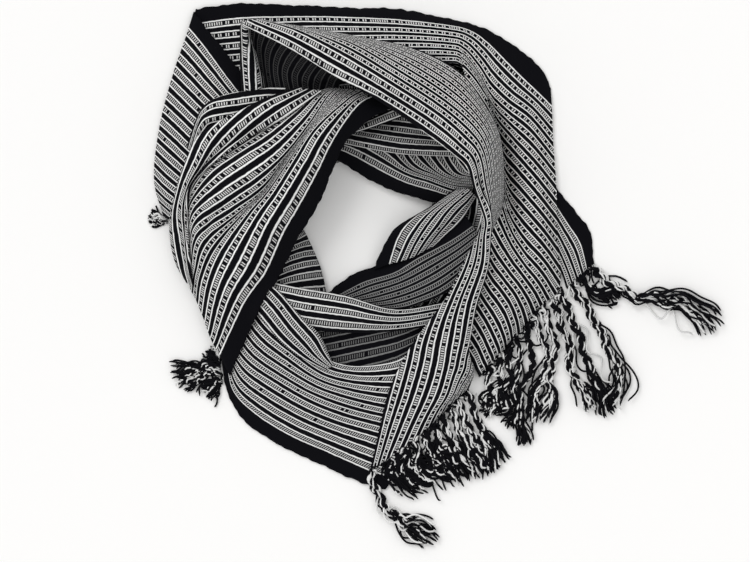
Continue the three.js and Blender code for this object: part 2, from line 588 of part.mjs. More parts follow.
// The hidden layers: rings of facets from the neck opening outwards, and back along the flat underside
function hiddenLayers() {
  const insets = LAYER_STEPS.map(({ inset }) => inset);
  const grid = [];
  for (let turn = 0; turn < DIRECTIONS; turn += 1) {
    const degrees = (turn / DIRECTIONS) * 360;
    const [inner, outer] = hiddenReach(degrees);
    const deepest = insets.at(-1);
    const middle = Array.from({ length: RINGS - 1 }, (_, ring) => (
      inner + deepest + ((ring + 1) / RINGS) * (outer - inner - 2 * deepest)
    ));
    const radii = [
      ...insets.map((inset) => inner + inset),
      ...middle,
      ...[...insets].reverse().map((inset) => outer - inset),
    ];
    grid.push(radii.map((radius, ring) => {
      const right = OPENING.right + radius * Math.cos(THREE.MathUtils.degToRad(degrees));
      const down = OPENING.down - radius * Math.sin(THREE.MathUtils.degToRad(degrees));
      const fromSide = Math.min(ring, radii.length - 1 - ring);
      const limit = LAYER_STEPS[fromSide]?.height ?? Infinity;
      return [right, down, Math.min(hiddenHeight(right, down), limit)];
    }));
  }
  const columns = grid[0].length;
  const upper = grid.flat();
  const sides = grid.flatMap((line) => [[line[0][0], line[0][1], 0], [line.at(-1)[0], line.at(-1)[1], 0]]);
  const positions = [...upper, ...sides].flatMap(([right, down, up]) => [
    right - CENTRE.right,
    CENTRE.down - down,
    up,
  ]);
  const triangles = [];
  const quad = (a, b, c, d) => triangles.push(a, b, c, a, c, d);
  for (let turn = 0; turn < DIRECTIONS; turn += 1) {
    const next = (turn + 1) % DIRECTIONS;
    const top = (t, ring) => t * columns + ring;
    const foot = (t, side) => DIRECTIONS * columns + 2 * t + side;
    for (let ring = 0; ring + 1 < columns; ring += 1) {
      quad(top(turn, ring), top(turn, ring + 1), top(next, ring + 1), top(next, ring));
    }
    quad(foot(turn, 0), top(turn, 0), top(next, 0), foot(next, 0));
    quad(top(turn, columns - 1), foot(turn, 1), foot(next, 1), top(next, columns - 1));
    quad(foot(turn, 1), foot(turn, 0), foot(next, 0), foot(next, 1));
  }
  raisePile([...grid, grid[0]]);
  const mesh = new THREE.Mesh(solid(positions, triangles), SHADED);
  mesh.name = "hidden_layers";
  return mesh;
}

// A closed tube with flat sides along a smooth line, where size gives its half width at each step
function lock(places, size, { sides, steps }) {
  const rings = [];
  for (let step = 0; step <= steps; step += 1) {
    const along = (step / steps) * (places.length - 1);
    const here = new THREE.Vector3(...onLine(places, along));
    const ahead = new THREE.Vector3(...onLine(places, Math.min(along + 0.05, places.length - 1)));
    const behind = new THREE.Vector3(...onLine(places, Math.max(along - 0.05, 0)));
    const forward = ahead.sub(behind).normalize();
    const sideways = new THREE.Vector3(0, 0, 1).cross(forward).normalize();
    const upwards = forward.clone().cross(sideways);
    const half = size(step / steps);
    rings.push(Array.from({ length: sides }, (_, side) => {
      const turn = ((side + 0.5) / sides) * 2 * Math.PI;
      return here.clone()
        .addScaledVector(sideways, half * Math.cos(turn))
        .addScaledVector(upwards, half * Math.sin(turn));
    }));
  }
  const triangles = [];
  for (let step = 0; step < steps; step += 1) {
    for (let side = 0; side < sides; side += 1) {
      const next = (side + 1) % sides;
      const [a, b] = [step * sides + side, step * sides + next];
      triangles.push(a, b, b + sides, a, b + sides, a + sides);
    }
  }
  for (let side = 1; side + 1 < sides; side += 1) {
    const end = steps * sides;
    triangles.push(0, side + 1, side, end, end + side, end + side + 1);
  }
  return solid(rings.flat().flatMap((place) => place.toArray()), triangles);
}

const wasm = await Module();
wasm.setup();

function asManifold(geometry) {
  const bare = geometry.clone();
  bare.deleteAttribute("normal");
  const merged = mergeVertices(bare, 1e-5);
  return new wasm.Manifold(new wasm.Mesh({
    numProp: 3,
    vertProperties: new Float32Array(merged.attributes.position.array),
    triVerts: new Uint32Array(merged.index.array),
  }));
}

// The middle line of a strip: the end of its cloth, moved out square to it
function stripLine({ places, cloth, from, to, parted }) {
  if (places) return places;
  const [before, end] = cloth.sections.slice(-2);
  const steps = Math.ceil(to - from) * 2;
  return Array.from({ length: steps + 1 }, (_, step) => {
    const column = from + (step / steps) * (to - from);
    const [right, down] = onLine(end, column);
    const [innerRight, innerDown] = onLine(before, column);
    const [nextRight, nextDown] = onLine(end, column + 0.1);
    const [lastRight, lastDown] = onLine(end, column - 0.1);
    const square = new THREE.Vector2(nextDown - lastDown, lastRight - nextRight).setLength(parted);
    const outwards = Math.sign(square.x * (right - innerRight) + square.y * (down - innerDown));
    return [right + outwards * square.x, down + outwards * square.y];
  });
}

// One run of fringe: a narrow strip parted from the cloth's edge, with tassels and their loose ends on it
function fringe(name, { strip, tassels }) {
  const place = ([right, down], up) => [right - CENTRE.right, CENTRE.down - down, up];
  const line = stripLine(strip).map((point) => place(point, STRIP.foot + STRIP.height / 2));
  const band = lock(line, () => STRIP.width / 2, { sides: 4, steps: line.length - 1 });
  let whole = asManifold(band);
  tassels.forEach(([share, ...places], index) => {
    const root = onLine(stripLine(strip), share * (line.length - 1));
    const tassel = [root, ...places];
    const length = tassel.slice(1).reduce((sum, [right, down], n) => (
      sum + Math.hypot(right - tassel[n][0], down - tassel[n][1])
    ), 0);
    const slim = Math.min(1, length / TASSEL.fullLength);
    const size = (t) => slim * (t < TASSEL.bellyAt
      ? TASSEL.root + (TASSEL.belly - TASSEL.root) * Math.sin((t / TASSEL.bellyAt) * (Math.PI / 2))
      : TASSEL.belly + ((t - TASSEL.bellyAt) / (1 - TASSEL.bellyAt)) * (TASSEL.tip - TASSEL.belly));
    const centre = slim * TASSEL.belly * 0.75 + 0.5;
    const route = tassel.map((point, step) => place(point, step ? centre : STRIP.foot + STRIP.height / 2));
    const steps = Math.max(4, Math.round(length / TASSEL.stepLength));
    whole = whole.add(asManifold(lock(route, size, { sides: TASSEL.sides, steps })));
    const [endRight, endDown] = tassel.at(-1);
    const [kneeRight, kneeDown] = tassel.at(-2);
    const span = Math.hypot(endRight - kneeRight, endDown - kneeDown);
    for (const side of [-1, 1]) {
      const away = side * (LOOSE_END.aside + (index % 3)) * slim;
      const short = LOOSE_END.short * slim;
      const endPlace = [
        endRight - short * ((endRight - kneeRight) / span) + (away * (endDown - kneeDown)) / span,
        endDown - short * ((endDown - kneeDown) / span) - (away * (endRight - kneeRight)) / span,
      ];
      const start = place([(endRight + 2 * kneeRight) / 3, (endDown + 2 * kneeDown) / 3], centre);
      const loose = [start, place(endPlace, LOOSE_END.up)];
      const half = (t) => slim * (LOOSE_END.root - LOOSE_END.taper * t);
      whole = whole.add(asManifold(lock(loose, half, LOOSE_END)));
    }
  });
  const { vertProperties, triVerts } = whole.getMesh();
  const mesh = new THREE.Mesh(solid([...vertProperties], [...triVerts]), YARN);
  mesh.name = name;
  return mesh;
}

// The scarf, laid from the bottom layer up
const scarf = new THREE.Group();
scarf.add(hiddenLayers());
scarf.add(layCloth("tail_layer", TAIL_LAYER, WOVEN));
scarf.add(layCloth("inner_fold_left", INNER_FOLD_LEFT, SHADED));
scarf.add(layCloth("inner_layer_upper", INNER_LAYER_UPPER, SHADED));
scarf.add(layCloth("inner_band_right", INNER_BAND_RIGHT, SHADED));
scarf.add(layCloth("inner_fold_right", INNER_FOLD_RIGHT, SHADED));
scarf.add(layCloth("inner_layer_deep", INNER_LAYER_DEEP, SHADED));
scarf.add(layCloth("inner_band", INNER_BAND, WOVEN));
scarf.add(layCloth("back_band", BACK_BAND, WOVEN));
scarf.add(layCloth("right_fan", RIGHT_FAN, WOVEN));
scarf.add(layCloth("left_panel", LEFT_PANEL, WOVEN));
scarf.add(layCloth("corner_leg", CORNER_LEG, WOVEN));
scarf.add(layCloth("lower_panel", LOWER_PANEL, WOVEN));
scarf.add(layCloth("front_roll", FRONT_ROLL, WOVEN));
scarf.add(layCloth("front_strip", FRONT_STRIP, WOVEN));
scarf.add(layCloth("top_fold", TOP_FOLD, WOVEN));
scarf.add(fringe("fringe_tail", FRINGE_TAIL));
scarf.add(fringe("fringe_fan", FRINGE_FAN));
scarf.add(fringe("fringe_front", FRINGE_FRONT));
scarf.add(fringe("tuft_left_low", TUFT_LEFT_LOW));
scarf.add(fringe("tuft_left_high", TUFT_LEFT_HIGH));

export default scarf;
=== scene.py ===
# %% [markdown]
# # A striped cotton scarf, wound in a loop
#
# The real scarf is one length of hand-woven cotton. Black and white stripes run along its length, each
# long side is a plain black selvedge, and the ends are knotted into twisted tassels. Here it was wound
# once into a loop, lifted off and dropped on a flat surface, so it shows as a ring of folds round an
# open middle.
#
# This lesson makes it fold by fold. Each stretch of cloth that shows is a thin shell, laid on the
# layers that are already there, and its weave is drawn by a material that knows where it is on the
# cloth.

import bpy
import numpy as np
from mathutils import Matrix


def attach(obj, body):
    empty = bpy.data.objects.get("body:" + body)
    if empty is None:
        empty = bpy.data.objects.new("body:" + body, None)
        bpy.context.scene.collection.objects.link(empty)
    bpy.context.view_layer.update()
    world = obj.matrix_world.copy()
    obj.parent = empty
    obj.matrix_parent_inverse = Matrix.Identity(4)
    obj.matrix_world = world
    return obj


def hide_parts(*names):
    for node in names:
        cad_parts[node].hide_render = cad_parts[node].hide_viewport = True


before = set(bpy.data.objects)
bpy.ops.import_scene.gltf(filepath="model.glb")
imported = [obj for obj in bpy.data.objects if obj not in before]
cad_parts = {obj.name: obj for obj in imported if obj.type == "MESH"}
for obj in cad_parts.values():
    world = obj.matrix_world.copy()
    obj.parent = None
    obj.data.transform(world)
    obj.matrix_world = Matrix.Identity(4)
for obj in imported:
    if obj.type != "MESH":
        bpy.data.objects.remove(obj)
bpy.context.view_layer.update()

# %% [markdown]
# ## One plan for everything
#
# Places are easiest to give on a plan: millimetres to the right and down from a corner, as seen from
# above, and millimetres up. One function turns them into the model's metres. A table of places is
# smoothed by a curve that runs through all of them, because a fold has no corners. The same curve is
# used along and across, so a whole surface is two small tables of weights, multiplied in one step.

# %% From the plan to the model
MM = 0.001
CENTRE = {"right": 431.0, "down": 270.5}


def to_model(places):
    """x = right - centre, y = centre - down, z = up, all in metres."""
    x = (places[..., 0] - CENTRE["right"]) * MM
    y = (CENTRE["down"] - places[..., 1]) * MM
    return np.stack([x, y, places[..., 2] * MM], axis=-1)


def placed(name, data):
    """A new object at the origin, unturned, so its places are where they are in the model."""
    piece = bpy.data.objects.new(name, data)
    bpy.context.scene.collection.objects.link(piece)
    return piece


# %% Smooth steps, and smooth curves through a few places
CURVE_SAMPLES = 400


def eased(value):
    """0 below 0, 1 above 1 and a smooth step between."""
    value = np.clip(value, 0, 1)
    return value * value * (3 - 2 * value)


def weights_for(count, stops):
    """The share that each of count places has at each stop along them.

    Between two places the curve is the cubic that leaves each of them in the direction of its two neighbours.
    Past an end, a place is added in line with the last two."""
    span = np.clip(np.floor(stops).astype(int), 0, count - 2)
    t = stops - span
    cubic = np.stack([
        -0.5 * t + t**2 - 0.5 * t**3,
        1 - 2.5 * t**2 + 1.5 * t**3,
        0.5 * t + 2 * t**2 - 1.5 * t**3,
        -0.5 * t**2 + 0.5 * t**3,
    ])
    weights = np.zeros((len(stops), count + 2))
    rows = np.arange(len(stops))
    for offset in range(4):
        weights[rows, span + offset] += cubic[offset]
    inner = weights[:, 1:-1].copy()
    inner[:, 0] += 2 * weights[:, 0]
    inner[:, 1] -= weights[:, 0]
    inner[:, -1] += 2 * weights[:, -1]
    inner[:, -2] -= weights[:, -1]
    return inner


def smooth_line(places, count):
    """count places, evenly spaced along the smooth curve through the given ones."""
    places = np.asarray(places, float)
    dense = weights_for(len(places), np.linspace(0, len(places) - 1, CURVE_SAMPLES)) @ places
    run = np.concatenate([[0], np.cumsum(np.linalg.norm(np.diff(dense, axis=0), axis=1))])
    even = np.linspace(0, run[-1], count)
    return np.stack([np.interp(even, run, dense[:, axis]) for axis in range(dense.shape[1])], axis=1)


def stops_along(net, step):
    """Where a net is cut along its rows: each gap between two rows is divided by its longest line."""
    longest = np.linalg.norm(np.diff(net, axis=0), axis=2).max(axis=1)
    parts = np.maximum(1, np.round(longest / step)).astype(int)
    pieces = [row + np.arange(1, count + 1) / count for row, count in enumerate(parts)]
    return np.concatenate([[0.0], *pieces])


# %% [markdown]
# ## Camera, floor and light
#
# The photo looks straight down, so the camera does too, from far above with a long lens, which keeps
# the upright folds from leaning outwards. The floor is a plain pale sheet. A bright white sky does most
# of the lighting, so the open floor is nearly white while the deep folds go grey by themselves, and a
# weak, wide sun from the upper left models the ridges.

# %% Camera straight above
FRAME_MIDDLE = {"right": 375.0, "down": 281.0}
FRAME_WIDTH = 0.750
LENS = 300.0
SENSOR = 36.0
FARTHEST = 50.0

camera_data = bpy.data.cameras.new("camera")
camera_data.lens = LENS
camera_data.sensor_width = SENSOR
camera_data.clip_end = FARTHEST
camera = placed("camera", camera_data)
camera.location = (
    (FRAME_MIDDLE["right"] - CENTRE["right"]) * MM,
    (CENTRE["down"] - FRAME_MIDDLE["down"]) * MM,
    FRAME_WIDTH * LENS / SENSOR,
)
bpy.context.scene.camera = camera
print("camera height", round(camera.location.z, 3), "m")

# %% Floor and light
FLOOR_SIZE = 8.0
FLOOR_COLOUR = (0.93, 0.925, 0.915, 1)
FLOOR_ROUGHNESS = 0.9
SUN_STRENGTH = 0.9
SUN_WIDTH = 30
SUN_TURN = (-30, -34, 0)
SKY_COLOUR = (1.0, 1.0, 1.0, 1)
SKY_STRENGTH = 0.86

floor_data = bpy.data.meshes.new("floor")
half_floor = FLOOR_SIZE / 2
floor_corners = [(x * half_floor, y * half_floor, 0) for x, y in ((-1, -1), (1, -1), (1, 1), (-1, 1))]
floor_data.from_pydata(floor_corners, [], [(0, 1, 2, 3)])
floor = placed("floor", floor_data)

pale = bpy.data.materials.new("pale_floor")
pale.use_nodes = True
pale_shader = pale.node_tree.nodes["Principled BSDF"]
pale_shader.inputs["Base Color"].default_value = FLOOR_COLOUR
pale_shader.inputs["Roughness"].default_value = FLOOR_ROUGHNESS
floor_data.materials.append(pale)

sun_data = bpy.data.lights.new("window", "SUN")
sun_data.energy = SUN_STRENGTH
sun_data.angle = np.radians(SUN_WIDTH)
sun = placed("window", sun_data)
sun.rotation_euler = np.radians(SUN_TURN)

sky = bpy.data.worlds.new("sky")
sky.use_nodes = True
background = sky.node_tree.nodes["Background"]
background.inputs["Color"].default_value = SKY_COLOUR
background.inputs["Strength"].default_value = SKY_STRENGTH
bpy.context.scene.world = sky
bpy.context.scene.view_settings.view_transform = "Standard"
print("sky", SKY_STRENGTH, "and sun", SUN_STRENGTH)

# %% [markdown]
# ## The weave
#
# On the loom the black and white warp threads repeat every 12 mm: a white line, a ladder of short white
# rungs on black, another white line, and a plain black stripe. A picture of the weave would blur close
# up and would need to be painted, so the material works the pattern out. It reads the cloth's own map,
# where one direction is the distance along the scarf and the other the distance from the selvedge, both
# in real size.
#
# The two faces of the cloth differ: one has bold rungs in pairs, the other finer, even ones. The fine
# one is also made with four darker whites, painted shade for the layers inside the loop. The real cloth
# lies in deep shade there, and the soft light of the scene reaches further in than the real light did.

# %% Sizes of the weave, in millimetres
SCARF_WIDTH = 434.0
SELVEDGE = 13.0
REPEAT = 12.0
WHITE_LINE = 1.35
LADDER = 4.7
LADDER_EDGE = 0.5
RUNG_LENGTH = 3.2
RUNG_WHITE = 0.85
THREAD = 1.15
BOLD_RUNGS = {"pitch": 2.4, "width": 1.05, "paired": True}
FINE_RUNGS = {"pitch": 2.3, "width": 0.85, "paired": False}


# %% Helpers that wire a material
def maths(tree, operation, *values):
    """One arithmetic step of a material. A value is a number or another step's result."""
    node = tree.nodes.new("ShaderNodeMath")
    node.operation = operation
    for socket, value in zip(node.inputs, values):
        if isinstance(value, (int, float)):
            socket.default_value = value
        else:
            tree.links.new(value, socket)
    return node.outputs[0]


def band_mask(tree, value, middle, half, soft=0.3):
    """1 within half of the middle and 0 outside, with an edge of width soft."""
    away = maths(tree, "ABSOLUTE", maths(tree, "SUBTRACT", value, middle))
    edge = maths(tree, "DIVIDE", maths(tree, "SUBTRACT", half + soft / 2, away), soft)
    return maths(tree, "MINIMUM", maths(tree, "MAXIMUM", edge, 0.0), 1.0)


def noise(tree, vector, scale, detail=2.0):
    """Soft random patches between 0 and 1, scale of them in a metre."""
    node = tree.nodes.new("ShaderNodeTexNoise")
    node.inputs["Scale"].default_value = scale
    node.inputs["Detail"].default_value = detail
    tree.links.new(vector, node.inputs["Vector"])
    return node.outputs["Fac"]


def chance(tree, value):
    """A steady random number from 0 to 1 for each whole number."""
    node = tree.nodes.new("ShaderNodeTexWhiteNoise")
    node.noise_dimensions = "1D"
    tree.links.new(value, node.inputs["W"])
    return node.outputs["Value"]


def mix_colours(tree, factor, dark, light):
    """dark where the factor is 0, light where it is 1, and a straight mix between."""
    node = tree.nodes.new("ShaderNodeMix")
    node.data_type = "RGBA"
    node.inputs["A"].default_value = (*dark, 1)
    node.inputs["B"].default_value = (*light, 1)
    tree.links.new(factor, node.inputs["Factor"])
    return node.outputs["Result"]


def add_bump(tree, shader, height, strength, depth):
    """Lets a height tilt the shaded surface a little, for relief too fine for the mesh."""
    bump = tree.nodes.new("ShaderNodeBump")
    bump.inputs["Strength"].default_value = strength
    bump.inputs["Distance"].default_value = depth
    tree.links.new(height, bump.inputs["Height"])
    tree.links.new(bump.outputs["Normal"], shader.inputs["Normal"])


# %% Where a point is on the cloth
WANDER_ALONG = {"scale": 60.0, "size": 3.0}
WANDER_ACROSS = {"scale": 180.0, "size": 0.9}


def cloth_place(tree, cloth_map):
    """Along and across in millimetres: the map in metres times 1000, plus noise, as threads wander."""
    parts = tree.nodes.new("ShaderNodeSeparateXYZ")
    tree.links.new(cloth_map, parts.inputs["Vector"])
    found = []
    for axis, wander in (("X", WANDER_ALONG), ("Y", WANDER_ACROSS)):
        drift = maths(tree, "SUBTRACT", noise(tree, cloth_map, wander["scale"]), 0.5)
        drift = maths(tree, "MULTIPLY", drift, wander["size"])
        found.append(maths(tree, "MULTIPLY_ADD", parts.outputs[axis], 1 / MM, drift))
    return found


# %% Rungs of the ladders
LADDER_SHIFT = 30.0
LUCK_STEP = 61.0
PAIR_GAP_CHANCE = 0.75
GAP_CHANCE = 0.02


def rung_mask(tree, along, band, rungs):
    """1 in the middle of each pitch along a ladder, where each ladder is shifted by a random length.

    Most third rungs are missing where they come in pairs, and a few at random where they don't."""
    shifted = maths(tree, "MULTIPLY_ADD", chance(tree, band), LADDER_SHIFT, along)
    count = maths(tree, "DIVIDE", shifted, rungs["pitch"])
    number = maths(tree, "FLOOR", count)
    within = maths(tree, "MULTIPLY", maths(tree, "SUBTRACT", count, number), rungs["pitch"])
    rung = band_mask(tree, within, rungs["pitch"] / 2, rungs["width"] / 2)
    luck = chance(tree, maths(tree, "MULTIPLY_ADD", band, LUCK_STEP, number))
    if rungs["paired"]:
        third = maths(tree, "GREATER_THAN", maths(tree, "FLOORED_MODULO", number, 3.0), 1.5)
        missing = maths(tree, "MULTIPLY", third, maths(tree, "LESS_THAN", luck, PAIR_GAP_CHANCE))
    else:
        missing = maths(tree, "LESS_THAN", luck, GAP_CHANCE)
    return maths(tree, "MULTIPLY", rung, maths(tree, "SUBTRACT", 1.0, missing))


# %% Lines and ladders between the selvedges
def white_pattern(tree, along, across, rungs):
    """1 on a white line, RUNG_WHITE on a rung and 0 elsewhere, from the distance past the selvedge."""
    inwards = maths(tree, "SUBTRACT", across, SELVEDGE)
    band = maths(tree, "FLOOR", maths(tree, "DIVIDE", inwards, REPEAT))
    place = maths(tree, "SUBTRACT", inwards, maths(tree, "MULTIPLY", band, REPEAT))
    first_line = band_mask(tree, place, WHITE_LINE / 2, WHITE_LINE / 2)
    second_line = band_mask(tree, place, 1.5 * WHITE_LINE + LADDER, WHITE_LINE / 2)
    lines = maths(tree, "MAXIMUM", first_line, second_line)
    ladder = band_mask(tree, place, WHITE_LINE + LADDER / 2, RUNG_LENGTH / 2, LADDER_EDGE)
    rung = maths(tree, "MULTIPLY", rung_mask(tree, along, band, rungs), RUNG_WHITE)
    pattern = maths(tree, "MAXIMUM", lines, maths(tree, "MULTIPLY", rung, ladder))
    past_first = maths(tree, "GREATER_THAN", across, SELVEDGE)
    before_last = maths(tree, "LESS_THAN", across, SCARF_WIDTH - SELVEDGE)
    return maths(tree, "MULTIPLY", pattern, maths(tree, "MULTIPLY", past_first, before_last))


# %% The striped cotton
BLACK_COTTON = (0.004, 0.004, 0.0055)
WHITE_COTTON = (0.93, 0.93, 0.92)
WEAR = {"scale": 420.0, "detail": 3.0, "share": 0.5}
BEADS = {"share": 0.16, "least": 0.55}
COTTON_SURFACE = {"Roughness": 0.92, "Specular IOR Level": 0.03, "Sheen Weight": 0.01, "Sheen Roughness": 0.6}
RELIEF = {"white": 0.8, "threads": 0.25, "strength": 0.55, "depth": 0.0004}


def striped_cotton(name, rungs, whiteness_and_painted_shade):
    """Black where the pattern is 0, and at 1 a white that varies with wear and with each thread's bead, times
    a whiteness that greys it as painted shade in the inner copies.
    """
    material = bpy.data.materials.new(name)
    material.use_nodes = True
    tree = material.node_tree
    map_node = tree.nodes.new("ShaderNodeUVMap")
    map_node.uv_map = "cloth"
    cloth_map = map_node.outputs["UV"]
    along, across = cloth_place(tree, cloth_map)
    pattern = white_pattern(tree, along, across, rungs)

    warp = maths(tree, "SINE", maths(tree, "MULTIPLY", along, 2 * np.pi / THREAD))
    weft = maths(tree, "SINE", maths(tree, "MULTIPLY", across, 2 * np.pi / THREAD))
    beads = maths(tree, "MULTIPLY_ADD", warp, 0.5, 0.5)
    beads = maths(tree, "MULTIPLY_ADD", beads, BEADS["share"], BEADS["least"])
    wear = noise(tree, cloth_map, WEAR["scale"], WEAR["detail"])
    bright = maths(tree, "MULTIPLY_ADD", wear, WEAR["share"], beads)
    bright = maths(tree, "MULTIPLY", maths(tree, "MINIMUM", bright, 1.0), whiteness_and_painted_shade)
    cotton = mix_colours(tree, maths(tree, "MULTIPLY", pattern, bright), BLACK_COTTON, WHITE_COTTON)
    shader = tree.nodes["Principled BSDF"]
    tree.links.new(cotton, shader.inputs["Base Color"])
    for socket, value in COTTON_SURFACE.items():
        shader.inputs[socket].default_value = value

    checker = maths(tree, "MULTIPLY", warp, weft)
    threads = maths(tree, "MULTIPLY_ADD", checker, RELIEF["threads"], wear)
    height = maths(tree, "MULTIPLY_ADD", pattern, RELIEF["white"], threads)
    add_bump(tree, shader, height, RELIEF["strength"], RELIEF["depth"])
    return material


# %% Both faces, and the copies with painted shade
# Columns: name of the finish, how white its white is, which below fine is painted shade
FINE_FACE_AND_PAINTED_SHADES = {
    "fine": ("fine_face", 0.95),
    "shaded": ("fine_face_with_painted_half_shade", 0.66),
    "dim": ("fine_face_with_painted_shade", 0.36),
    "dusk": ("fine_face_with_painted_shade_under_the_front", 0.24),
    "dark": ("fine_face_with_painted_deep_shade", 0.07),
}
COTTON = {"bold": striped_cotton("bold_face", BOLD_RUNGS, 1.0)}
for face, (face_name, whiteness_and_painted_shade) in FINE_FACE_AND_PAINTED_SHADES.items():
    COTTON[face] = striped_cotton(face_name, FINE_RUNGS, whiteness_and_painted_shade)
print("finishes of the weave:", ", ".join(material.name for material in COTTON.values()))

# %% [markdown]
# ## How a layer is laid
#
# Real cloth rests on what lies below it. A simulation of the whole scarf would fall into folds of its
# own, not these ones, so each layer is modelled where it lies and then settled by a rule. A map of
# heights holds the top of the pile so far. A new layer is lifted wherever the pile would come through
# it, the lift fades out around there as stiff cotton does, and a layer that touches nothing is let down
# until it does. Then the layer is drawn into the map, ready for the next one.

# %% The map of heights
CELL = 1.5
PLAN_SIZE = {"right": 780.0, "down": 580.0}
DRAWN_PARTS = 3
heights = np.zeros((int(PLAN_SIZE["down"] / CELL), int(PLAN_SIZE["right"] / CELL)))


def cells_of(places):
    """The row and the column of the map's cell under each place."""
    down = np.clip(np.rint(places[..., 1] / CELL).astype(int), 0, heights.shape[0] - 1)
    right = np.clip(np.rint(places[..., 0] / CELL).astype(int), 0, heights.shape[1] - 1)
    return down, right


def windowed(grid, reach, summary):
    """Each value becomes the summary (largest or mean) of those within reach steps of it, both ways."""
    for axis in (0, 1):
        padding = [(reach, reach) if axis == side else (0, 0) for side in (0, 1)]
        padded = np.pad(grid, padding, mode="edge")
        windows = np.lib.stride_tricks.sliding_window_view(padded, 2 * reach + 1, axis=axis)
        grid = summary(windows, axis=-1)
    return grid


def pile_under(places, reach=1):
    """The top of the pile within reach cells of each place."""
    top = windowed(heights, reach, np.max) if reach else heights
    return top[cells_of(places)]


def divided(grid, parts):
    """The grid with each of its steps divided into straight parts."""
    for axis in (0, 1):
        count = grid.shape[axis]
        stops = np.linspace(0, count - 1, (count - 1) * parts + 1)
        before = np.minimum(stops.astype(int), count - 2)
        share = (stops - before).reshape((-1, 1, 1) if axis == 0 else (1, -1, 1))
        grid = np.take(grid, before, axis) * (1 - share) + np.take(grid, before + 1, axis) * share
    return grid


def raise_pile(grid):
    """Draws a layer into the map of heights, where it is higher than what is there."""
    fine = divided(grid[..., :3], DRAWN_PARTS)
    np.maximum.at(heights, cells_of(fine), fine[..., 2])


# %% Resting a layer on the pile
CLOTH = 1.2
CLEARANCE = 0.4
STEP = 1.9
NEED_REACH = 2
LIFT_STRIDES = (10, 10, 6, 6, 3, 3, 1, 1)
LIFT_KEPT = 0.93


def settled(grid):
    """up + lift, where lift is at least what clears the pile and fades out over about 50 mm around there.

    In each round the lift becomes a share of the mean of its neighbours one stride away, if that is more."""
    need = np.maximum(0, pile_under(grid) + CLEARANCE - grid[..., 2])
    need = windowed(need, NEED_REACH, np.max)
    lift = need
    for stride in LIFT_STRIDES:
        padded = np.pad(lift, stride, mode="edge")
        middle = slice(stride, -stride)
        ahead, behind = padded[2 * stride:, middle], padded[:-2 * stride, middle]
        right, left = padded[middle, 2 * stride:], padded[middle, :-2 * stride]
        lift = np.maximum(need, LIFT_KEPT * (ahead + behind + right + left) / 4)
    lift = windowed(lift, NEED_REACH, np.mean)
    air = (grid[..., 2] + lift - pile_under(grid, 0) - CLEARANCE).min()
    out = grid.copy()
    out[..., 2] += lift - max(0.0, air)
    return out


# %% [markdown]
# ## Folded sides
#
# Where cloth folds back it makes a small round roll, never a knife edge. Such a side is carried on: a
# half turn outwards and down, then a few millimetres back underneath. The cloth's map runs on round the
# turn, so stripes follow it. How round it is depends on the room over the pile.

# %% A side that turns under
TURN_STEPS = 9
RETURN = 3.0
RETURN_STEPS = 4
FULL_RETURN_RADIUS = 1.5
LEAST_RADIUS = 0.15
TURN_CLEARANCE = 0.15
EVENED = 4
UPSIDE_DOWN_FROM = 0.3


def side_last(grid, side):
    """The grid turned so that the named side is its last column."""
    if side.endswith("section"):
        grid = grid.swapaxes(0, 1)
    return grid[:, ::-1] if side.startswith("first") else grid


def side_back(grid, side):
    """The grid turned back from side_last."""
    grid = grid[:, ::-1] if side.startswith("first") else grid
    return grid.swapaxes(0, 1) if side.endswith("section") else grid


def turned_under(grid, side, radius):
    """p = edge + r sin(a) outwards - r (1 - cos(a)) upwards for a half turn a, then straight back inwards."""
    grid = side_last(grid, side)
    edge = grid[:, -1]
    inner = grid[:, -4]
    outwards = edge[:, :3] - inner[:, :3]
    span = np.linalg.norm(outwards, axis=1, keepdims=True)
    outwards = outwards / span
    onwards = (edge[:, 3:] - inner[:, 3:]) / span
    along = np.gradient(edge[:, :3], axis=0)
    upwards = np.cross(outwards, along)
    upwards *= np.sign(upwards[:, 2:3]) / np.linalg.norm(upwards, axis=1, keepdims=True)
    room = (edge[:, 2] - pile_under(edge) - CLEARANCE - CLOTH) / 2
    size = np.clip(np.minimum(radius, room), LEAST_RADIUS, None)
    window = 2 * EVENED + 1
    size = np.convolve(np.pad(size, EVENED, mode="edge"), np.ones(window) / window, mode="valid")[:, None]
    columns = []
    for angle in np.linspace(0, np.pi, TURN_STEPS)[1:]:
        place = edge[:, :3] + size * (np.sin(angle) * outwards - (1 - np.cos(angle)) * upwards)
        columns.append(np.hstack([place, edge[:, 3:] + onwards * size * angle]))
    share = np.minimum(1, size / FULL_RETURN_RADIUS)
    for back in np.linspace(0, RETURN, RETURN_STEPS)[1:]:
        place = edge[:, :3] - 2 * size * upwards - back * share * outwards
        columns.append(np.hstack([place, edge[:, 3:] + onwards * (size * np.pi + back * share)]))
    turn = np.stack(columns, axis=1)
    upside_down = np.linspace(0, 1, turn.shape[1]) > UPSIDE_DOWN_FROM
    turn[..., 2] = np.maximum(turn[..., 2], pile_under(turn, 0) + TURN_CLEARANCE + CLOTH * upside_down)
    return side_back(np.concatenate([grid, turn], axis=1), side)


# %% [markdown]
# ## Creases
#
# Between its main folds the cloth has smaller troughs and ridges, uneven in length and depth. Each is a
# route over the plan with a half width and a rise, negative for a trough. The cloth is pushed up or
# down by a bell curve of its distance from the route, which fades towards the route's ends. Then comes
# the slight unevenness that hand-woven cloth has everywhere, and last the outermost threads of a
# selvedge, which wander a little.

# %% Troughs, ridges and unevenness
ROUTE_STEPS = 40
ROUTE_ENDS = 0.02
ROUTE_FADE = 0.6
TINY = 1e-9
UNEVENNESS = 0.35
FRAYED_WITHIN = 4.0
FRAYED_BY = 0.55
# Millimetres along the cloth for one radian of each of its waves
FRAYED_WAVES = {"fast": 1.9, "slow": 7.3, "even": 3.7, "bending": 11.0}
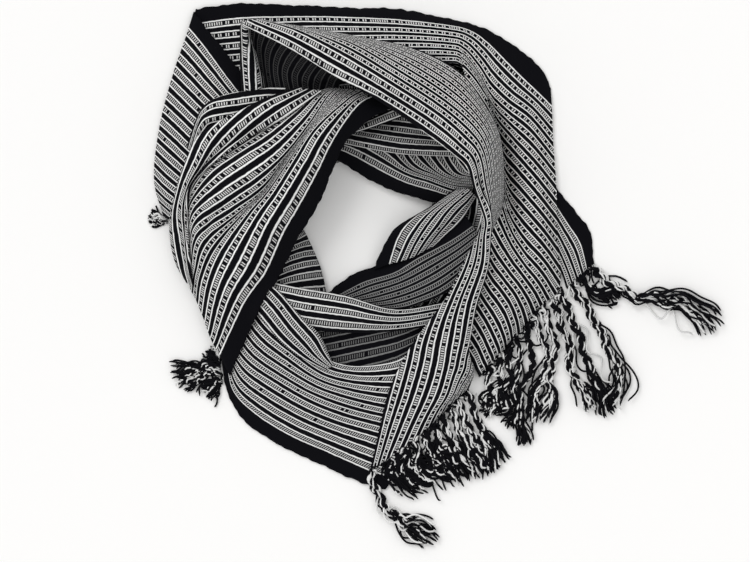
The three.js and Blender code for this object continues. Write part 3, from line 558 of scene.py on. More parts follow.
# Columns: mm along and mm across for one radian of the wave, its shift in radians, its share
WAVES = [(9.1, 23.0, 0.0, 1.0), (15.7, -11.3, 1.0, 1.0), (31.0, 7.9, 2.0, 1.0), (5.3, -5.9, 0.0, 0.5)]


def creased(grid, creases):
    """up + rise exp(-(distance / half)^2) sin(pi share)^0.6, summed over the creases."""
    out = grid.copy()
    for route, half, rise in creases:
        line = smooth_line(route, ROUTE_STEPS)
        distances = np.linalg.norm(grid[..., None, :2] - line, axis=-1)
        nearest = distances.argmin(axis=-1)
        away = distances.min(axis=-1)
        share = np.clip(nearest / (ROUTE_STEPS - 1), ROUTE_ENDS, 1 - ROUTE_ENDS)
        out[..., 2] += rise * np.exp(-((away / half) ** 2)) * np.sin(np.pi * share) ** ROUTE_FADE
    return out


def frayed(grid):
    """A selvedge's outermost threads go in and out by sines of the distance along that never repeat together.

    The wander fades out over FRAYED_WITHIN mm from the edge. Only plan places move, square to the edge."""
    out = grid.copy()
    along, across = grid[..., 3], grid[..., 4]
    near_side = np.clip(1 - across / FRAYED_WITHIN, 0, 1)
    fast, slow, even, bending = (along / length for length in FRAYED_WAVES.values())
    wander = np.sin(fast) * np.sin(slow + 1.0) + 0.8 * np.sin(even + 2.0 * np.sin(bending))
    sideways = np.gradient(grid[..., :2], axis=1)
    sideways /= np.linalg.norm(sideways, axis=-1, keepdims=True) + TINY
    inwards = np.sign(np.gradient(across, axis=1))[..., None]
    out[..., :2] += sideways * inwards * (FRAYED_BY * near_side * wander)[..., None]
    return out


def uneven(grid, amount):
    """up + half the amount times a sum of long sine waves at odd angles across the cloth's own map."""
    along, across = grid[..., 3], grid[..., 4]
    wave = sum(
        part * np.sin(along / length + across / breadth + shift) for length, breadth, shift, part in WAVES
    )
    out = grid.copy()
    out[..., 2] += amount * wave / 2
    return out


# %% [markdown]
# ## From a table to a piece of cloth
#
# A stretch is given by a few sections across it. The first two numbers of a place are where it is on
# the plan and the third how high its underside is. Each column also has its place in the weave, in
# repeats from the first white line: -1.08 is the selvedge's outer side. The distance along the cloth is
# measured on the surface itself, square to the stripes, so the rungs stand square to the lines.

# %% The surface with its map
SELVEDGE_SIDE = -SELVEDGE / REPEAT
TURN_TRIM = 0.8


def trimmed(stops, net, side, radius):
    """The stops up to 0.8 radii before a side that turns under, which leaves the turn its own room."""
    lines = side_last(net, side)
    gap = np.linalg.norm(lines[:, -1] - lines[:, -2], axis=1).mean()
    trim = TURN_TRIM * float(np.max(radius)) / gap
    low, high = (trim, stops[-1]) if side.startswith("first") else (0, stops[-1] - trim)
    return np.unique(np.clip(stops, low, high))


def distance_along(places):
    """The summed lengths of the steps down each column, from a start that lies square to the stripes."""
    steps = np.linalg.norm(np.diff(places, axis=0), axis=-1)
    along = np.concatenate([np.zeros((1, places.shape[1])), np.cumsum(steps, axis=0)])
    stripe = places[1] - places[0]
    stripe /= np.linalg.norm(stripe, axis=-1, keepdims=True)
    sideways = np.diff(places[0], axis=0)
    start = np.concatenate([[0], np.cumsum((sideways * stripe[:-1]).sum(axis=-1))])
    return along + start


def cloth_surface(net, bands, folds, rows_kept=None):
    """Rows of (right, down, up, along, across) in mm, where across = selvedge + repeat times band."""
    bands = np.broadcast_to(np.asarray(bands, float), net.shape[:2])
    full = np.concatenate([net, (SELVEDGE + REPEAT * bands)[..., None]], axis=-1)
    row_stops = stops_along(net, STEP)
    column_stops = stops_along(net.swapaxes(0, 1), STEP)
    if rows_kept:
        row_stops = row_stops[(row_stops >= rows_kept[0]) & (row_stops <= rows_kept[1])]
    for side, radius in folds.items():
        if side.endswith("section"):
            row_stops = trimmed(row_stops, net, side, radius)
        else:
            column_stops = trimmed(column_stops, net, side, radius)
    rows = weights_for(net.shape[0], row_stops)
    columns = weights_for(net.shape[1], column_stops)
    surface = np.einsum("ir,rcv,jc->ijv", rows, full, columns)
    along = distance_along(surface[..., :3])
    grid = np.concatenate([surface[..., :3], along[..., None], surface[..., 3:]], axis=-1)
    return grid, row_stops, column_stops


def shaped(net, bands, folds=None, creases=(), unevenness=UNEVENNESS, rows_kept=None):
    """The surface with its creases, settled on the pile, and the stops of its rows and columns."""
    grid, row_stops, column_stops = cloth_surface(net, bands, folds or {}, rows_kept)
    return settled(frayed(uneven(creased(grid, creases), unevenness))), row_stops, column_stops


def with_turns(grid, folds, row_stops, column_stops, net):
    """Turns each named side under. A radius is one number, or one for each place on that side of the net."""
    for side, radius in (folds or {}).items():
        along_columns = side.endswith("section")
        stops = column_stops if along_columns else row_stops
        radii = np.broadcast_to(np.asarray(radius, float), net.shape[1 if along_columns else 0])
        count = side_last(grid, side).shape[0]
        if len(stops) != count:
            stops = np.linspace(0, len(radii) - 1, count)
        grid = turned_under(grid, side, np.interp(stops, np.arange(len(radii)), radii))
    return grid


# %% The mesh and its map
def squares_of(grid):
    """The cross product of the two sides of each quad: its direction is the face's, its length the area."""
    places = to_model(grid)
    return np.cross(np.diff(places, axis=0)[:, :-1], np.diff(places, axis=1)[:-1])


def quad_mesh(name, places, quads):
    """One mesh of smooth quads, from places on the plan and the four place numbers of each quad."""
    mesh = bpy.data.meshes.new(name)
    mesh.vertices.add(len(places))
    mesh.vertices.foreach_set("co", to_model(places).reshape(-1))
    mesh.loops.add(quads.size)
    mesh.loops.foreach_set("vertex_index", quads.reshape(-1))
    mesh.polygons.add(len(quads))
    mesh.polygons.foreach_set("loop_start", np.arange(0, quads.size, quads.shape[1]))
    mesh.polygons.foreach_set("use_smooth", np.ones(len(quads), bool))
    mesh.update()
    return mesh


def mapped_mesh(name, places, quads):
    """A mesh of quads that carries the last two numbers of each place as its cloth map, in metres."""
    mesh = quad_mesh(name, places, quads)
    cloth_map = mesh.uv_layers.new(name="cloth")
    cloth_map.data.foreach_set("uv", (places[:, 3:5] * MM)[quads.reshape(-1)].reshape(-1))
    mesh.validate()
    return mesh


def mesh_from_grid(name, grid):
    """One mesh of quads, facing up, with its map."""
    rows, columns = grid.shape[:2]
    index = np.arange(rows * columns).reshape(rows, columns)
    quads = np.stack([index[:-1, :-1], index[1:, :-1], index[1:, 1:], index[:-1, 1:]], axis=-1).reshape(-1, 4)
    if squares_of(grid)[..., 2].sum() < 0:
        quads = quads[:, ::-1]
    return mapped_mesh(name, grid.reshape(rows * columns, -1), quads)


def finished(name, node, grid, face):
    """Draws the layer into the map of heights, makes its mesh with thickness and finish, attaches it to the
    root and hides the part it stands for.
    """
    raised = grid.copy()
    raised[..., 2] += CLOTH
    raise_pile(raised)
    piece = placed(name, mesh_from_grid(name, grid))
    piece.data.materials.append(COTTON[face])
    thickness = piece.modifiers.new("thickness", "SOLIDIFY")
    thickness.thickness = CLOTH * MM
    thickness.offset = 1.0
    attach(piece, "root")
    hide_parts(node)


def lay(node, net, bands, face, folds=None, creases=(),
        unevenness=UNEVENNESS, name=None):
    """Makes one stretch from its table, in the three steps above."""
    net = np.asarray(net, float)
    grid, row_stops, column_stops = shaped(net, bands, folds, creases, unevenness)
    grid = with_turns(grid, folds, row_stops, column_stops, net)
    finished(name or node + "_cloth", node, grid, face)


# %% [markdown]
# ## The layers that nothing shows
#
# Under the folds lie the layers of the loop that can't be seen. They are one rounded body, low where
# the cloth lies flat and ridged where the folds stand up, and its sides step in like a stack of folded
# edges. The body is worked out round the open middle: one direction of the grid goes round, the other
# from the inner side to the outer one and back along the flat underside, so it closes on itself.

# %% Sizes of the hidden layers
OPENING = {"right": 352.0, "down": 222.0}
# Columns: inner and outer distance from the opening's middle; rows anticlockwise from the right by 30 degrees
HIDDEN_REACH = np.array([
    [76, 188], [84, 204], [62, 200], [62, 186], [58, 208], [48, 188],
    [52, 160], [58, 146], [78, 186], [68, 218], [60, 176], [52, 172],
], float)
# Columns: from right, down, up; to right, down, up; half width
HIDDEN_RIDGES = np.array([
    [300, 46, 34, 398, 84, 54, 24],
    [398, 84, 54, 474, 150, 52, 26],
    [474, 150, 52, 487, 232, 38, 16],
    [484, 240, 32, 458, 320, 18, 26],
    [455, 322, 16, 425, 400, 5, 34],
    [328, 120, 44, 282, 190, 46, 36],
    [282, 190, 46, 228, 282, 18, 38],
    [240, 145, 22, 200, 210, 10, 30],
    [200, 105, 8, 190, 170, 9, 40],
    [270, 340, 10, 340, 385, 6, 45],
    [285, 303, 20, 395, 316, 10, 24],
    [425, 285, 12, 470, 250, 20, 28],
    [385, 148, 20, 465, 155, 26, 22],
    [524, 150, 16, 532, 235, 16, 22],
    [512, 262, 14, 494, 335, 8, 26],
], float)
# Heights, steps and the map in millimetres; the others are counts
HIDDEN_BASE = 4.0
FOLDED_EDGE = {"height": 3.6, "step": 7.0, "count": 3, "places": 7}
ROUND_STEPS = 300
ACROSS_STEPS = 48
HIDDEN_MAP = {"radius": 120, "across": 40}


# %% The rounded body
def hidden_height(places):
    """The fourth root of the summed fourth powers of a base height and cosine-squared ridges."""
    total = np.full(places.shape[:-1], HIDDEN_BASE ** 4)
    for right0, down0, up0, right1, down1, up1, half in HIDDEN_RIDGES:
        run = np.array([right1 - right0, down1 - down0])
        share = np.clip(((places - [right0, down0]) @ run) / (run @ run), 0, 1)
        away = np.linalg.norm(places - [right0, down0] - share[..., None] * run, axis=-1)
        bell = np.cos(np.minimum(away / half, 1) * np.pi / 2) ** 2
        total += ((up0 + share * (up1 - up0)) * bell) ** 4
    return total ** 0.25


def folded_edges():
    """Insets and heights up the side of the stack: a half circle for each edge, set back from the last."""
    angles = np.linspace(-np.pi / 2, np.pi / 2, FOLDED_EDGE["places"])
    radius = FOLDED_EDGE["height"] / 2
    levels = np.arange(FOLDED_EDGE["count"])
    insets = (levels * FOLDED_EDGE["step"])[:, None] + radius * (1 - np.cos(angles))
    ups = (levels * FOLDED_EDGE["height"])[:, None] + radius * (1 + np.sin(angles))
    return insets.ravel(), ups.ravel()


def hidden_body():
    """right = middle + r cos(a), down = middle - r sin(a), up = the ridges' height, cut down at the sides."""
    sections = len(HIDDEN_REACH)
    stops = np.linspace(0, sections, ROUND_STEPS, endpoint=False)
    ringed = np.concatenate([HIDDEN_REACH[-2:], HIDDEN_REACH, HIDDEN_REACH[:3]])
    inner, outer = (weights_for(len(ringed), stops + 2) @ ringed).T
    insets, ups = folded_edges()
    deepest = insets.max()
    shares = np.linspace(0, 1, ACROSS_STEPS + 2)[1:-1]
    middle = (inner + deepest)[:, None] + shares * (outer - inner - 2 * deepest)[:, None]
    radii = np.concatenate([inner[:, None] + insets, middle, outer[:, None] - insets[::-1]], axis=1)
    caps = np.concatenate([ups, np.full(len(shares), np.inf), ups[::-1]])
    angles = stops / sections * 2 * np.pi
    right = OPENING["right"] + radii * np.cos(angles)[:, None]
    down = OPENING["down"] - radii * np.sin(angles)[:, None]
    up = np.minimum(hidden_height(np.stack([right, down], axis=-1)), caps)
    along = np.broadcast_to((angles * HIDDEN_MAP["radius"])[:, None], radii.shape)
    across = HIDDEN_MAP["across"] + radii - inner[:, None]
    return np.stack([right, down, up, along, across], axis=-1)


# %% Make the hidden layers
hidden = hidden_body()
raise_pile(np.concatenate([hidden, hidden[:1]]))
index = np.arange(hidden.shape[0] * hidden.shape[1]).reshape(hidden.shape[:2])
ahead = np.roll(index, -1, axis=0)
beside = np.roll(index, -1, axis=1)
both = np.roll(ahead, -1, axis=1)
hidden_quads = np.stack([index, beside, both, ahead], axis=-1).reshape(-1, 4)
hidden_mesh = mapped_mesh("hidden_layers_body", hidden.reshape(index.size, -1), hidden_quads)
hidden_mesh.materials.append(COTTON["fine"])
hidden_piece = placed("hidden_layers_body", hidden_mesh)
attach(hidden_piece, "root")
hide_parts("hidden_layers")
print("hidden layers:", len(hidden_quads), "faces")

# %% [markdown]
# ## The end that turns under at the right
#
# The outer part of the fringed end folds under at the right and shows again below as a narrow triangle.

# %% Tail layer
# Columns: selvedge, first line, second band, fourth band
TAIL_LAYER = np.array([
    [[547, 172, 1], [545, 192, 1.5], [545, 215, 2], [545, 240, 2]],
    [[559, 191, 1], [556, 206, 2], [553, 228, 3], [551, 252, 3]],
    [[577, 214, 1], [568, 224, 3], [560, 241, 4], [556, 262, 4]],
    [[590, 232, 1], [580, 243, 3], [568, 258, 4], [562, 275, 3]],
    [[594, 264, 1], [587, 269, 1.5], [576, 279, 2], [566, 288, 2]],
], float)
TAIL_BANDS = [SELVEDGE_SIDE, 0, 2, 4]
lay("tail_layer", TAIL_LAYER, TAIL_BANDS, "fine", unevenness=0.1)

# %% [markdown]
# ## Inside the loop
#
# Round the opening the inner layers stand on edge or lie half hidden. They are laid first, from the
# lowest. The upper layer at the back is three pieces: a low one, whose stripes curve in from its
# selvedge, a fold above it, and a narrow strip that slants from the roll to the top fold. On the right
# a band and a steep fold follow, and in front a shaded layer with a bright band over it. Most of them
# take a copy of the fine face whose whites are greyed as painted shade.

# %% Small fold on the left of the opening
# Columns: top, first third, second third, bottom
INNER_FOLD_LEFT = np.array([
    [[303, 229, 9], [313, 250, 11], [321, 270, 11], [326, 293, 10]],
    [[296, 235, 19], [301, 252, 21], [306, 272, 20], [311, 294, 17]],
    [[284, 243, 23], [286, 258, 24], [289, 276, 23], [293, 294, 20]],
    [[272, 258, 24], [272, 269, 25], [273, 282, 24], [276, 296, 21]],
], float)
lay("inner_fold_left", INNER_FOLD_LEFT, [3, 5, 7, 8.5], "shaded", folds={"first_section": 2.0})

# %% Upper inner layer: the low part
# Columns: selvedge round the opening, first line, three places in the curved stripes, under the fold
UPPER_LOW = np.array([
    [[331, 154, 12], [337, 148, 17], [339, 146, 18], [340, 144, 19], [341, 142, 20], [342, 140, 20]],
    [[352, 169, 9], [358, 158, 16], [361, 154, 18], [363, 151, 20], [365, 148, 22], [366, 145, 22]],
    [[385, 187, 9], [389, 175, 17], [391, 168, 20], [392, 162, 22], [393, 155, 24], [394, 148, 26]],
    [[408, 195, 11], [410, 184, 19], [411, 176, 22], [411, 168, 24], [411, 159, 26], [411, 148, 28]],
    [[430, 201, 14], [431, 190, 22], [431, 181, 25], [431, 171, 27], [431, 161, 29], [431, 150, 31]],
    [[450, 203, 19], [451, 195, 26], [452, 186, 29], [453, 176, 31], [453, 165, 33], [453, 152, 35]],
    [[471, 197, 27], [472, 191, 31], [473, 184, 33], [474, 175, 35], [475, 165, 37], [476, 155, 39]],
], float)
UPPER_LOW_BANDS = np.array([
    [SELVEDGE_SIDE, 0, 0.3, 0.5, 0.8, 1.1],
    [SELVEDGE_SIDE, 0, 0.4, 0.7, 1.0, 1.3],
    [SELVEDGE_SIDE, 0, 0.6, 1.2, 1.8, 2.2],
    [SELVEDGE_SIDE, 0, 0.8, 2.2, 3.0, 3.5],
    [SELVEDGE_SIDE, 0, 1.0, 3.4, 4.4, 4.9],
    [SELVEDGE_SIDE, 0, 1.6, 5.0, 6.0, 6.5],
    [SELVEDGE_SIDE, 0, 3.0, 6.6, 7.5, 8.0],
])
UPPER_CREASES = [
    [[[372, 150], [385, 160], [404, 171]], 5, -2.2],
    [[[401, 152], [409, 165], [425, 176]], 4, -2.6],
    [[[424, 154], [430, 166], [444, 179]], 4, -2.4],
    [[[445, 156], [450, 170], [460, 184]], 4, -2.8],
]
lay("inner_layer_upper", UPPER_LOW, UPPER_LOW_BANDS, "shaded", creases=UPPER_CREASES)

# %% Upper inner layer: the fold above it
# Columns: the folded side, then places further in under the top fold
UPPER_HIGH = np.array([
    [[338, 142, 24], [340, 138, 26], [342, 133, 25], [346, 124, 20], [352, 113, 14]],
    [[368, 148.5, 31], [369, 144, 34], [371, 139, 31], [375, 127, 22], [381, 110, 15]],
    [[400, 154, 36], [400.5, 149, 39], [401, 144, 37], [402, 130, 25], [405, 108, 16]],
    [[430, 156, 40], [430, 151, 43], [430.5, 146, 41], [432, 134, 29], [437, 114, 19]],
    [[455, 157, 42], [455, 152, 45], [455.5, 148, 43], [458, 139, 34], [463, 124, 24]],
    [[477, 160, 44], [477, 155, 46], [478, 151, 44], [480, 145, 38], [483, 136, 30]],
], float)
lay("inner_layer_upper", UPPER_HIGH, [0, 0.6, 1.1, 2.4, 4.2], "shaded", folds={"first_column": 1.5},
    name="inner_layer_upper_fold")

# %% Upper inner layer: the narrow strip
# Columns: lower side, middle, upper side of a narrow strip that slants from the roll to the top fold
SLANT = np.array([
    [[340, 137, 27], [342, 133, 29], [344, 129, 27]],
    [[360, 132, 33], [361, 128, 35], [362, 124, 32]],
    [[390, 122, 38], [389, 117, 40], [389, 112, 37]],
    [[412, 114, 40], [411, 109, 42], [411, 104, 38]],
], float)
lay("inner_layer_upper", SLANT, [-0.1, 0.35, 0.8], "shaded", name="inner_layer_upper_slant")

# %% Band on the right of the opening
# Columns: selvedge round the opening, first line, then the bands 2, 4 and 6
INNER_BAND_RIGHT = np.array([
    [[328, 293, 2], [339, 295, 5], [352, 299, 9], [366, 304, 12], [382, 310, 13]],
    [[352, 275, 3], [365, 282, 8], [376, 292, 14], [390, 300, 17], [405, 308, 17]],
    [[374, 267, 5], [394, 273, 12], [403, 283, 18], [413, 293, 21], [424, 302, 20]],
    [[396, 253, 10], [417, 259, 17], [428, 270, 22], [438, 281, 24], [446, 292, 22]],
    [[432, 234, 16], [449, 242, 22], [457, 252, 27], [463, 263, 28], [466, 275, 26]],
    [[464, 215, 24], [473, 226, 28], [478, 236, 31], [481, 246, 31], [483, 258, 30]],
], float)
lay("inner_band_right", INNER_BAND_RIGHT, [SELVEDGE_SIDE, 0, 2, 4, 6], "dim")

# %% Steep fold above the band
# Columns: selvedge round the opening, then the bands 0, 0.6, 1.7, 2.9, 4 and the turned side
FOLD_RIGHT = np.array([
    [[374, 270, 8], [389, 264, 13], [397, 262, 16], [407, 259, 18],
      [416, 255, 18], [426, 249, 15], [434, 245, 11]],
    [[379, 257, 10], [393, 251, 17], [402, 251, 22], [412, 248, 24],
      [422, 246, 24], [432, 242, 20], [442, 238, 14]],
    [[387, 241, 14], [398, 238, 22], [407, 240, 27], [418, 237, 29],
      [429, 236, 29], [439, 233, 24], [450, 231, 17]],
    [[397, 228, 18], [405, 227, 26], [414, 229, 31], [426, 225, 33],
      [437, 226, 33], [447, 224, 28], [457, 226, 20]],
    [[412, 218.5, 22], [417, 217, 30], [424, 217, 34], [436, 213, 36],
      [445, 215, 36], [454, 216, 32], [464, 218, 23]],
    [[427, 210, 26], [430, 209.5, 33], [434, 209, 36], [445, 205, 38],
      [453, 206, 38], [461, 208, 34], [468, 211, 26]],
    [[440, 201, 29], [442, 201, 35], [446, 201, 38], [455, 197, 40],
      [461, 199, 40], [467, 202, 36], [471, 204, 29]],
    [[456, 190, 32], [457, 191, 37], [460, 191, 40], [466, 189, 42],
      [470, 191, 42], [473, 194, 38], [475, 197, 31]],
], float)
lay("inner_fold_right", FOLD_RIGHT, [SELVEDGE_SIDE, 0, 0.6, 1.7, 2.9, 4.0, 4.8], "fine",
    folds={"last_column": 2.0})

# %% Shaded layer in front
# Columns: top, first third, second third, bottom
INNER_LAYER_DEEP = np.array([
    [[298, 326, 14], [300, 340, 10], [303, 354, 9], [306, 368, 8]],
    [[345, 324, 14], [345, 338, 10], [345, 352, 8], [345, 372, 7]],
    [[395, 320, 10], [395, 334, 8], [395, 348, 6], [395, 367, 6]],
    [[432, 313, 8], [428, 328, 7], [422, 342, 6], [415, 358, 5]],
], float)
DEEP_BANDS = np.array([6, 7, 8, 9.3]) + np.linspace(-0.6, 0.9, len(INNER_LAYER_DEEP))[:, None]
lay("inner_layer_deep", INNER_LAYER_DEEP, DEEP_BANDS, "dusk")

# %% Bright band in front
# Columns: upper fold edge, first third, second third, lower side
INNER_BAND = np.array([
    [[266, 281, 26], [267, 292, 28], [268, 304, 27], [270, 317, 20]],
    [[300, 288, 31], [300, 300, 34], [300, 313, 32], [302, 327, 24]],
    [[345, 296, 31], [345, 307, 34], [345, 319, 31], [345, 332, 22]],
    [[395, 310, 22], [395, 316, 24], [395, 323, 22], [397, 330, 16]],
    [[446, 303, 14], [447, 309, 15], [447, 315, 14], [449, 322, 12]],
], float)
lay("inner_band", INNER_BAND, [4.95, 5.9, 6.9, 7.9], "fine", folds={"first_column": 2.5})

# %% [markdown]
# ## The back and the right
#
# The back band runs along the top of the loop with its selvedge on the outline, bends at the right and
# opens into a fan that ends in the fringe. At the left it folds over and comes back as the left panel,
# other face up.

# %% Back band and fan, before they are joined
# Columns: selvedge, first white line, third band, sixth band
BACK_BAND = np.array([
    [[196, 9, 2], [192, 24, 3], [183, 58, 4], [175, 92, 5]],
    [[240, 4, 2], [240, 18, 6], [240, 54, 11], [238, 88, 14]],
    [[300, 6, 2], [300, 17, 7], [300, 47, 13], [300, 78, 12]],
    [[350, 8.5, 2], [350, 18, 8], [350, 46, 17], [350, 74, 18]],
    [[400, 10, 2], [400, 20.5, 9], [400, 44, 20], [400, 66, 24]],
    [[450, 20, 2], [450, 26.5, 9], [448, 46, 24], [446, 64, 28]],
    [[474, 25, 2], [469, 31, 8], [461, 50, 26], [457, 66, 30]],
], float)
# Columns: selvedge, first line, then the bands 3, 6, 9, 12, 15, 18, 21 and 24
RIGHT_FAN = np.array([
    [[476, 26, 2], [471, 32, 8], [463, 51, 26], [462, 68, 30], [482, 130, 26], [490, 170, 28],
      [487, 225, 40], [482, 265, 34], [472, 303, 24], [464, 350, 12]],
    [[498, 36, 2], [487, 43, 9], [478, 68, 25], [484, 95, 24], [499, 162, 22], [500, 190, 24],
      [497, 243, 36], [491, 281, 33], [480, 315, 24], [469, 357, 11]],
    [[516, 48, 2], [503, 59, 10], [490, 86, 25], [497, 120, 23], [509, 178, 24], [508, 215, 26],
      [509, 262, 32], [500, 293, 30], [487, 327, 22], [473, 363, 10]],
    [[532, 60, 2], [522, 78, 10], [507, 103, 26], [513, 140, 30], [520, 191, 31], [523, 240, 30],
      [521, 277, 27], [508, 305, 25], [492, 338, 19], [475, 368, 9]],
    [[544, 74, 2], [541, 96, 9], [529, 120, 20], [534, 165, 26], [539, 215, 28], [542, 262, 24],
      [532, 292, 18], [514, 320, 16], [496, 348, 13], [477, 373, 8]],
    [[550, 88, 2], [551, 106, 4], [554, 149, 4], [557, 193, 5], [557, 238, 5], [560, 288, 3],
      [540, 307, 2], [517, 335, 2], [498, 356, 2], [479, 377, 2]],
], float)
FAN_BANDS = [SELVEDGE_SIDE, 0, 3, 6, 9, 12, 15, 18, 21, 24]
FAN_TURN = [0.3, 1.5, 2.5, 2.5, 2, 0.5, 0.2, 0.2, 0.2, 0.2]
SHARED = BACK_BAND.shape[1]
back_net = np.concatenate([BACK_BAND[:-1], RIGHT_FAN[:2, :SHARED]])
before_fan = 2 * RIGHT_FAN[:1] - RIGHT_FAN[1:2]
before_fan[:, :SHARED] = BACK_BAND[-2]
fan_net = np.concatenate([before_fan, RIGHT_FAN])
BACK_CREASES = [
    [[[262, 30], [300, 34], [345, 36], [400, 36]], 7, -2.0],
    [[[400, 52], [432, 52], [462, 62]], 6, 1.5],
]
FAN_CREASES = [
    [[[482, 98], [493, 122], [503, 150], [507, 195], [505, 235]], 14, -15.0],
    [[[500, 62], [520, 100], [534, 150], [541, 205]], 9, 2.2],
    [[[515, 215], [522, 250], [520, 285]], 8, -2.0],
    [[[500, 200], [503, 250], [492, 300]], 7, 1.8],
]
back, _, back_columns = shaped(
    back_net, FAN_BANDS[:SHARED], None, BACK_CREASES, rows_kept=(0, len(back_net) - 2)
)
fan, fan_rows, fan_columns = shaped(
    fan_net, FAN_BANDS, {"last_section": FAN_TURN}, FAN_CREASES, rows_kept=(1, len(fan_net) - 1)
)

# %% Join them at the bend
JOIN_ROWS = 24
UP = 2
ALONG = 3
shared_columns = int(np.searchsorted(fan_columns, SHARED - 1)) + 1


def step_at_bend(value):
    """The fan's first row less the back band's last row, in one of the five values of a place."""
    wanted = np.interp(back_columns, fan_columns[:shared_columns], fan[0, :shared_columns, value])
    return wanted - back[-1, :, value]


back[-JOIN_ROWS:, :, UP] += eased(np.linspace(0, 1, JOIN_ROWS))[:, None] * step_at_bend(UP)
back[..., ALONG] += step_at_bend(ALONG).mean()
fan = with_turns(fan, {"last_section": FAN_TURN}, fan_rows, fan_columns, fan_net)
finished("back_band_cloth", "back_band", back, "bold")
finished("right_fan_cloth", "right_fan", fan, "bold")

# %% [markdown]
# ## The dark hollow under the top corner
#
# The top fold is open towards the left, and there the cloth runs down into it in long curves. The light
# hardly reaches it, and its whites are greyed almost to black as painted shade.

# %% Hollow
# Columns: from the standing fold to the right; rows from under the top fold down
HOLLOW = np.array([
    [[250, 24, 32], [268, 32, 33], [287, 43, 34], [306, 54, 35], [325, 65, 36], [345, 77, 36]],
    [[250, 42, 24], [262, 48, 20], [278, 56, 19], [296, 66, 19], [317, 75, 20], [340, 84, 22]],
    [[254, 62, 20], [263, 66, 15], [275, 72, 14], [292, 78, 15], [313, 85, 17], [338, 92, 20]],
    [[262, 99, 18], [268, 99, 15], [280, 99, 15], [296, 99, 16], [315, 99, 18], [338, 99, 20]],
], float)
lay("hidden_layers", HOLLOW, [0, 1.6, 3.2, 5, 7, 9], "dark",
    name="hollow_cloth")

# %% [markdown]
# ## The left side
#
# The back band folds over at the left and comes down as the left panel, other face up. Beside its top a
# narrow fold stands up on edge under the tip of the top fold. Its steep sides show only from the side,
# so they get their true share of the cloth's map, and the stripes aren't stretched there.

# %% Left panel
# Columns: selvedge, first line, then the bands 4, 8, 12 and 15
LEFT_PANEL = np.array([
    [[194, 11, 4], [189, 27, 5], [172, 78, 5], [159, 129, 4], [154, 178, 3], [163, 214, 2]],
    [[203, 24, 9], [199, 39, 11], [186, 92, 15], [173, 142, 17], [168, 192, 16], [173, 222, 12]],
    [[222, 48, 15], [214, 59, 18], [204, 110, 24], [192, 160, 25], [186, 206, 22], [185, 232, 17]],
    [[240, 72, 18], [229, 80, 23], [226, 130, 30], [216, 180, 30], [206, 222, 26], [199, 242, 20]],
    [[251, 90, 19], [243, 98, 24], [246, 150, 33], [238, 198, 33], [226, 238, 28], [212, 255, 22]],
], float)
lay("left_panel", LEFT_PANEL, [SELVEDGE_SIDE, 0, 4, 8, 12, 15], "fine", folds={"first_section": 2.5})

# %% Corner leg
# Columns: left side, then places across the standing fold, right side; rows from the tip down
LEG = np.array([
    [[243, 23, 34], [244.5, 22.5, 42], [246.5, 22.5, 46], [248.5, 23, 44], [250, 24, 36]],
    [[241.5, 30, 26], [243, 30, 37], [245.7, 30, 42], [248.2, 30, 40], [250, 30, 30]],
    [[241.5, 42, 23], [243.5, 42, 35], [246.5, 42, 39], [249.5, 42, 36], [251.5, 42, 25]],
    [[241.5, 60, 22], [244, 60, 33], [249, 60, 37], [254, 60, 33], [257.5, 60, 22]],
    [[242, 78, 20], [245, 78, 30], [252, 78, 33], [259, 78, 30], [262.5, 78, 20]],
    [[243, 97, 18], [246, 97, 26], [253.5, 97, 28], [261, 97, 26], [265, 97, 18]],
], float)
LEG_BANDS = np.array([
    [-0.9, 0.02, 0.3, 0.5, 1.2],
    [-0.9, 0.02, 0.3, 0.5, 1.2],
    [-0.9, 0.02, 0.35, 0.6, 1.3],
    [-0.9, 0.04, 0.55, 1.0, 1.8],
    [-0.9, 0.04, 0.75, 1.35, 2.1],
    [-0.7, 0.04, 0.8, 1.4, 2.2],
])
lay("corner_leg", LEG, LEG_BANDS, "bold", unevenness=0.0)

# %% [markdown]
# ## The front
#
# The thick roll on the left of the opening folds under at its left crease, and its other face comes
# back below it as the lower panel. The strip on the right runs down from the pinch to the fringe, over
# everything.

# %% Lower panel
# Columns: selvedge, first line, then the bands 3, 6, 8 and 9.6; rows from under the roll to the strip
PANEL = np.array([
    [[222, 354, 2], [226, 351, 3], [229, 345, 4], [241, 323, 8], [250, 305, 11], [258, 290, 13]],
    [[226, 386, 1], [233, 389, 4], [245, 368, 12], [258, 345, 17], [267, 327, 20], [275, 310, 20]],
    [[243, 419, 1], [255, 413, 5], [268, 385, 16], [282, 363, 21], [290, 348, 22], [299, 334, 21]],
    [[275, 442, 1], [290, 435, 6], [304, 406, 15], [316, 384, 19], [321, 371, 20], [326, 358, 19]],
    [[318, 463, 1], [328, 452, 5], [340, 421, 11], [350, 396, 14], [353, 380, 15], [355, 366, 15]],
    [[360, 482, 1], [368, 470, 2], [380, 433, 4], [387, 404, 8], [390, 382, 11], [392, 362, 13]],
    [[385, 490, 1], [392, 478, 2], [402, 440, 3], [408, 404, 5], [410, 380, 8], [412, 352, 10]],
], float)
PANEL_CREASES = [
    [[[238, 345], [262, 366], [300, 388], [345, 398]], 6, -1.6],
    [[[245, 372], [275, 392], [320, 410], [360, 415]], 9, 1.4],
    [[[252, 330], [278, 352], [312, 372], [356, 384]], 5, 1.5],
    [[[300, 420], [335, 432], [362, 436]], 8, -1.2],
]
lay("lower_panel", PANEL, [SELVEDGE_SIDE, 0, 3, 6, 8.0, 9.6], "fine", creases=PANEL_CREASES)

# %% [markdown]
# ## The fold over the lower panel
#
# Beside the foot of the roll a small fold slants over the panel. It lies on the panel, so it is a piece
# of its own, with its own stripes.

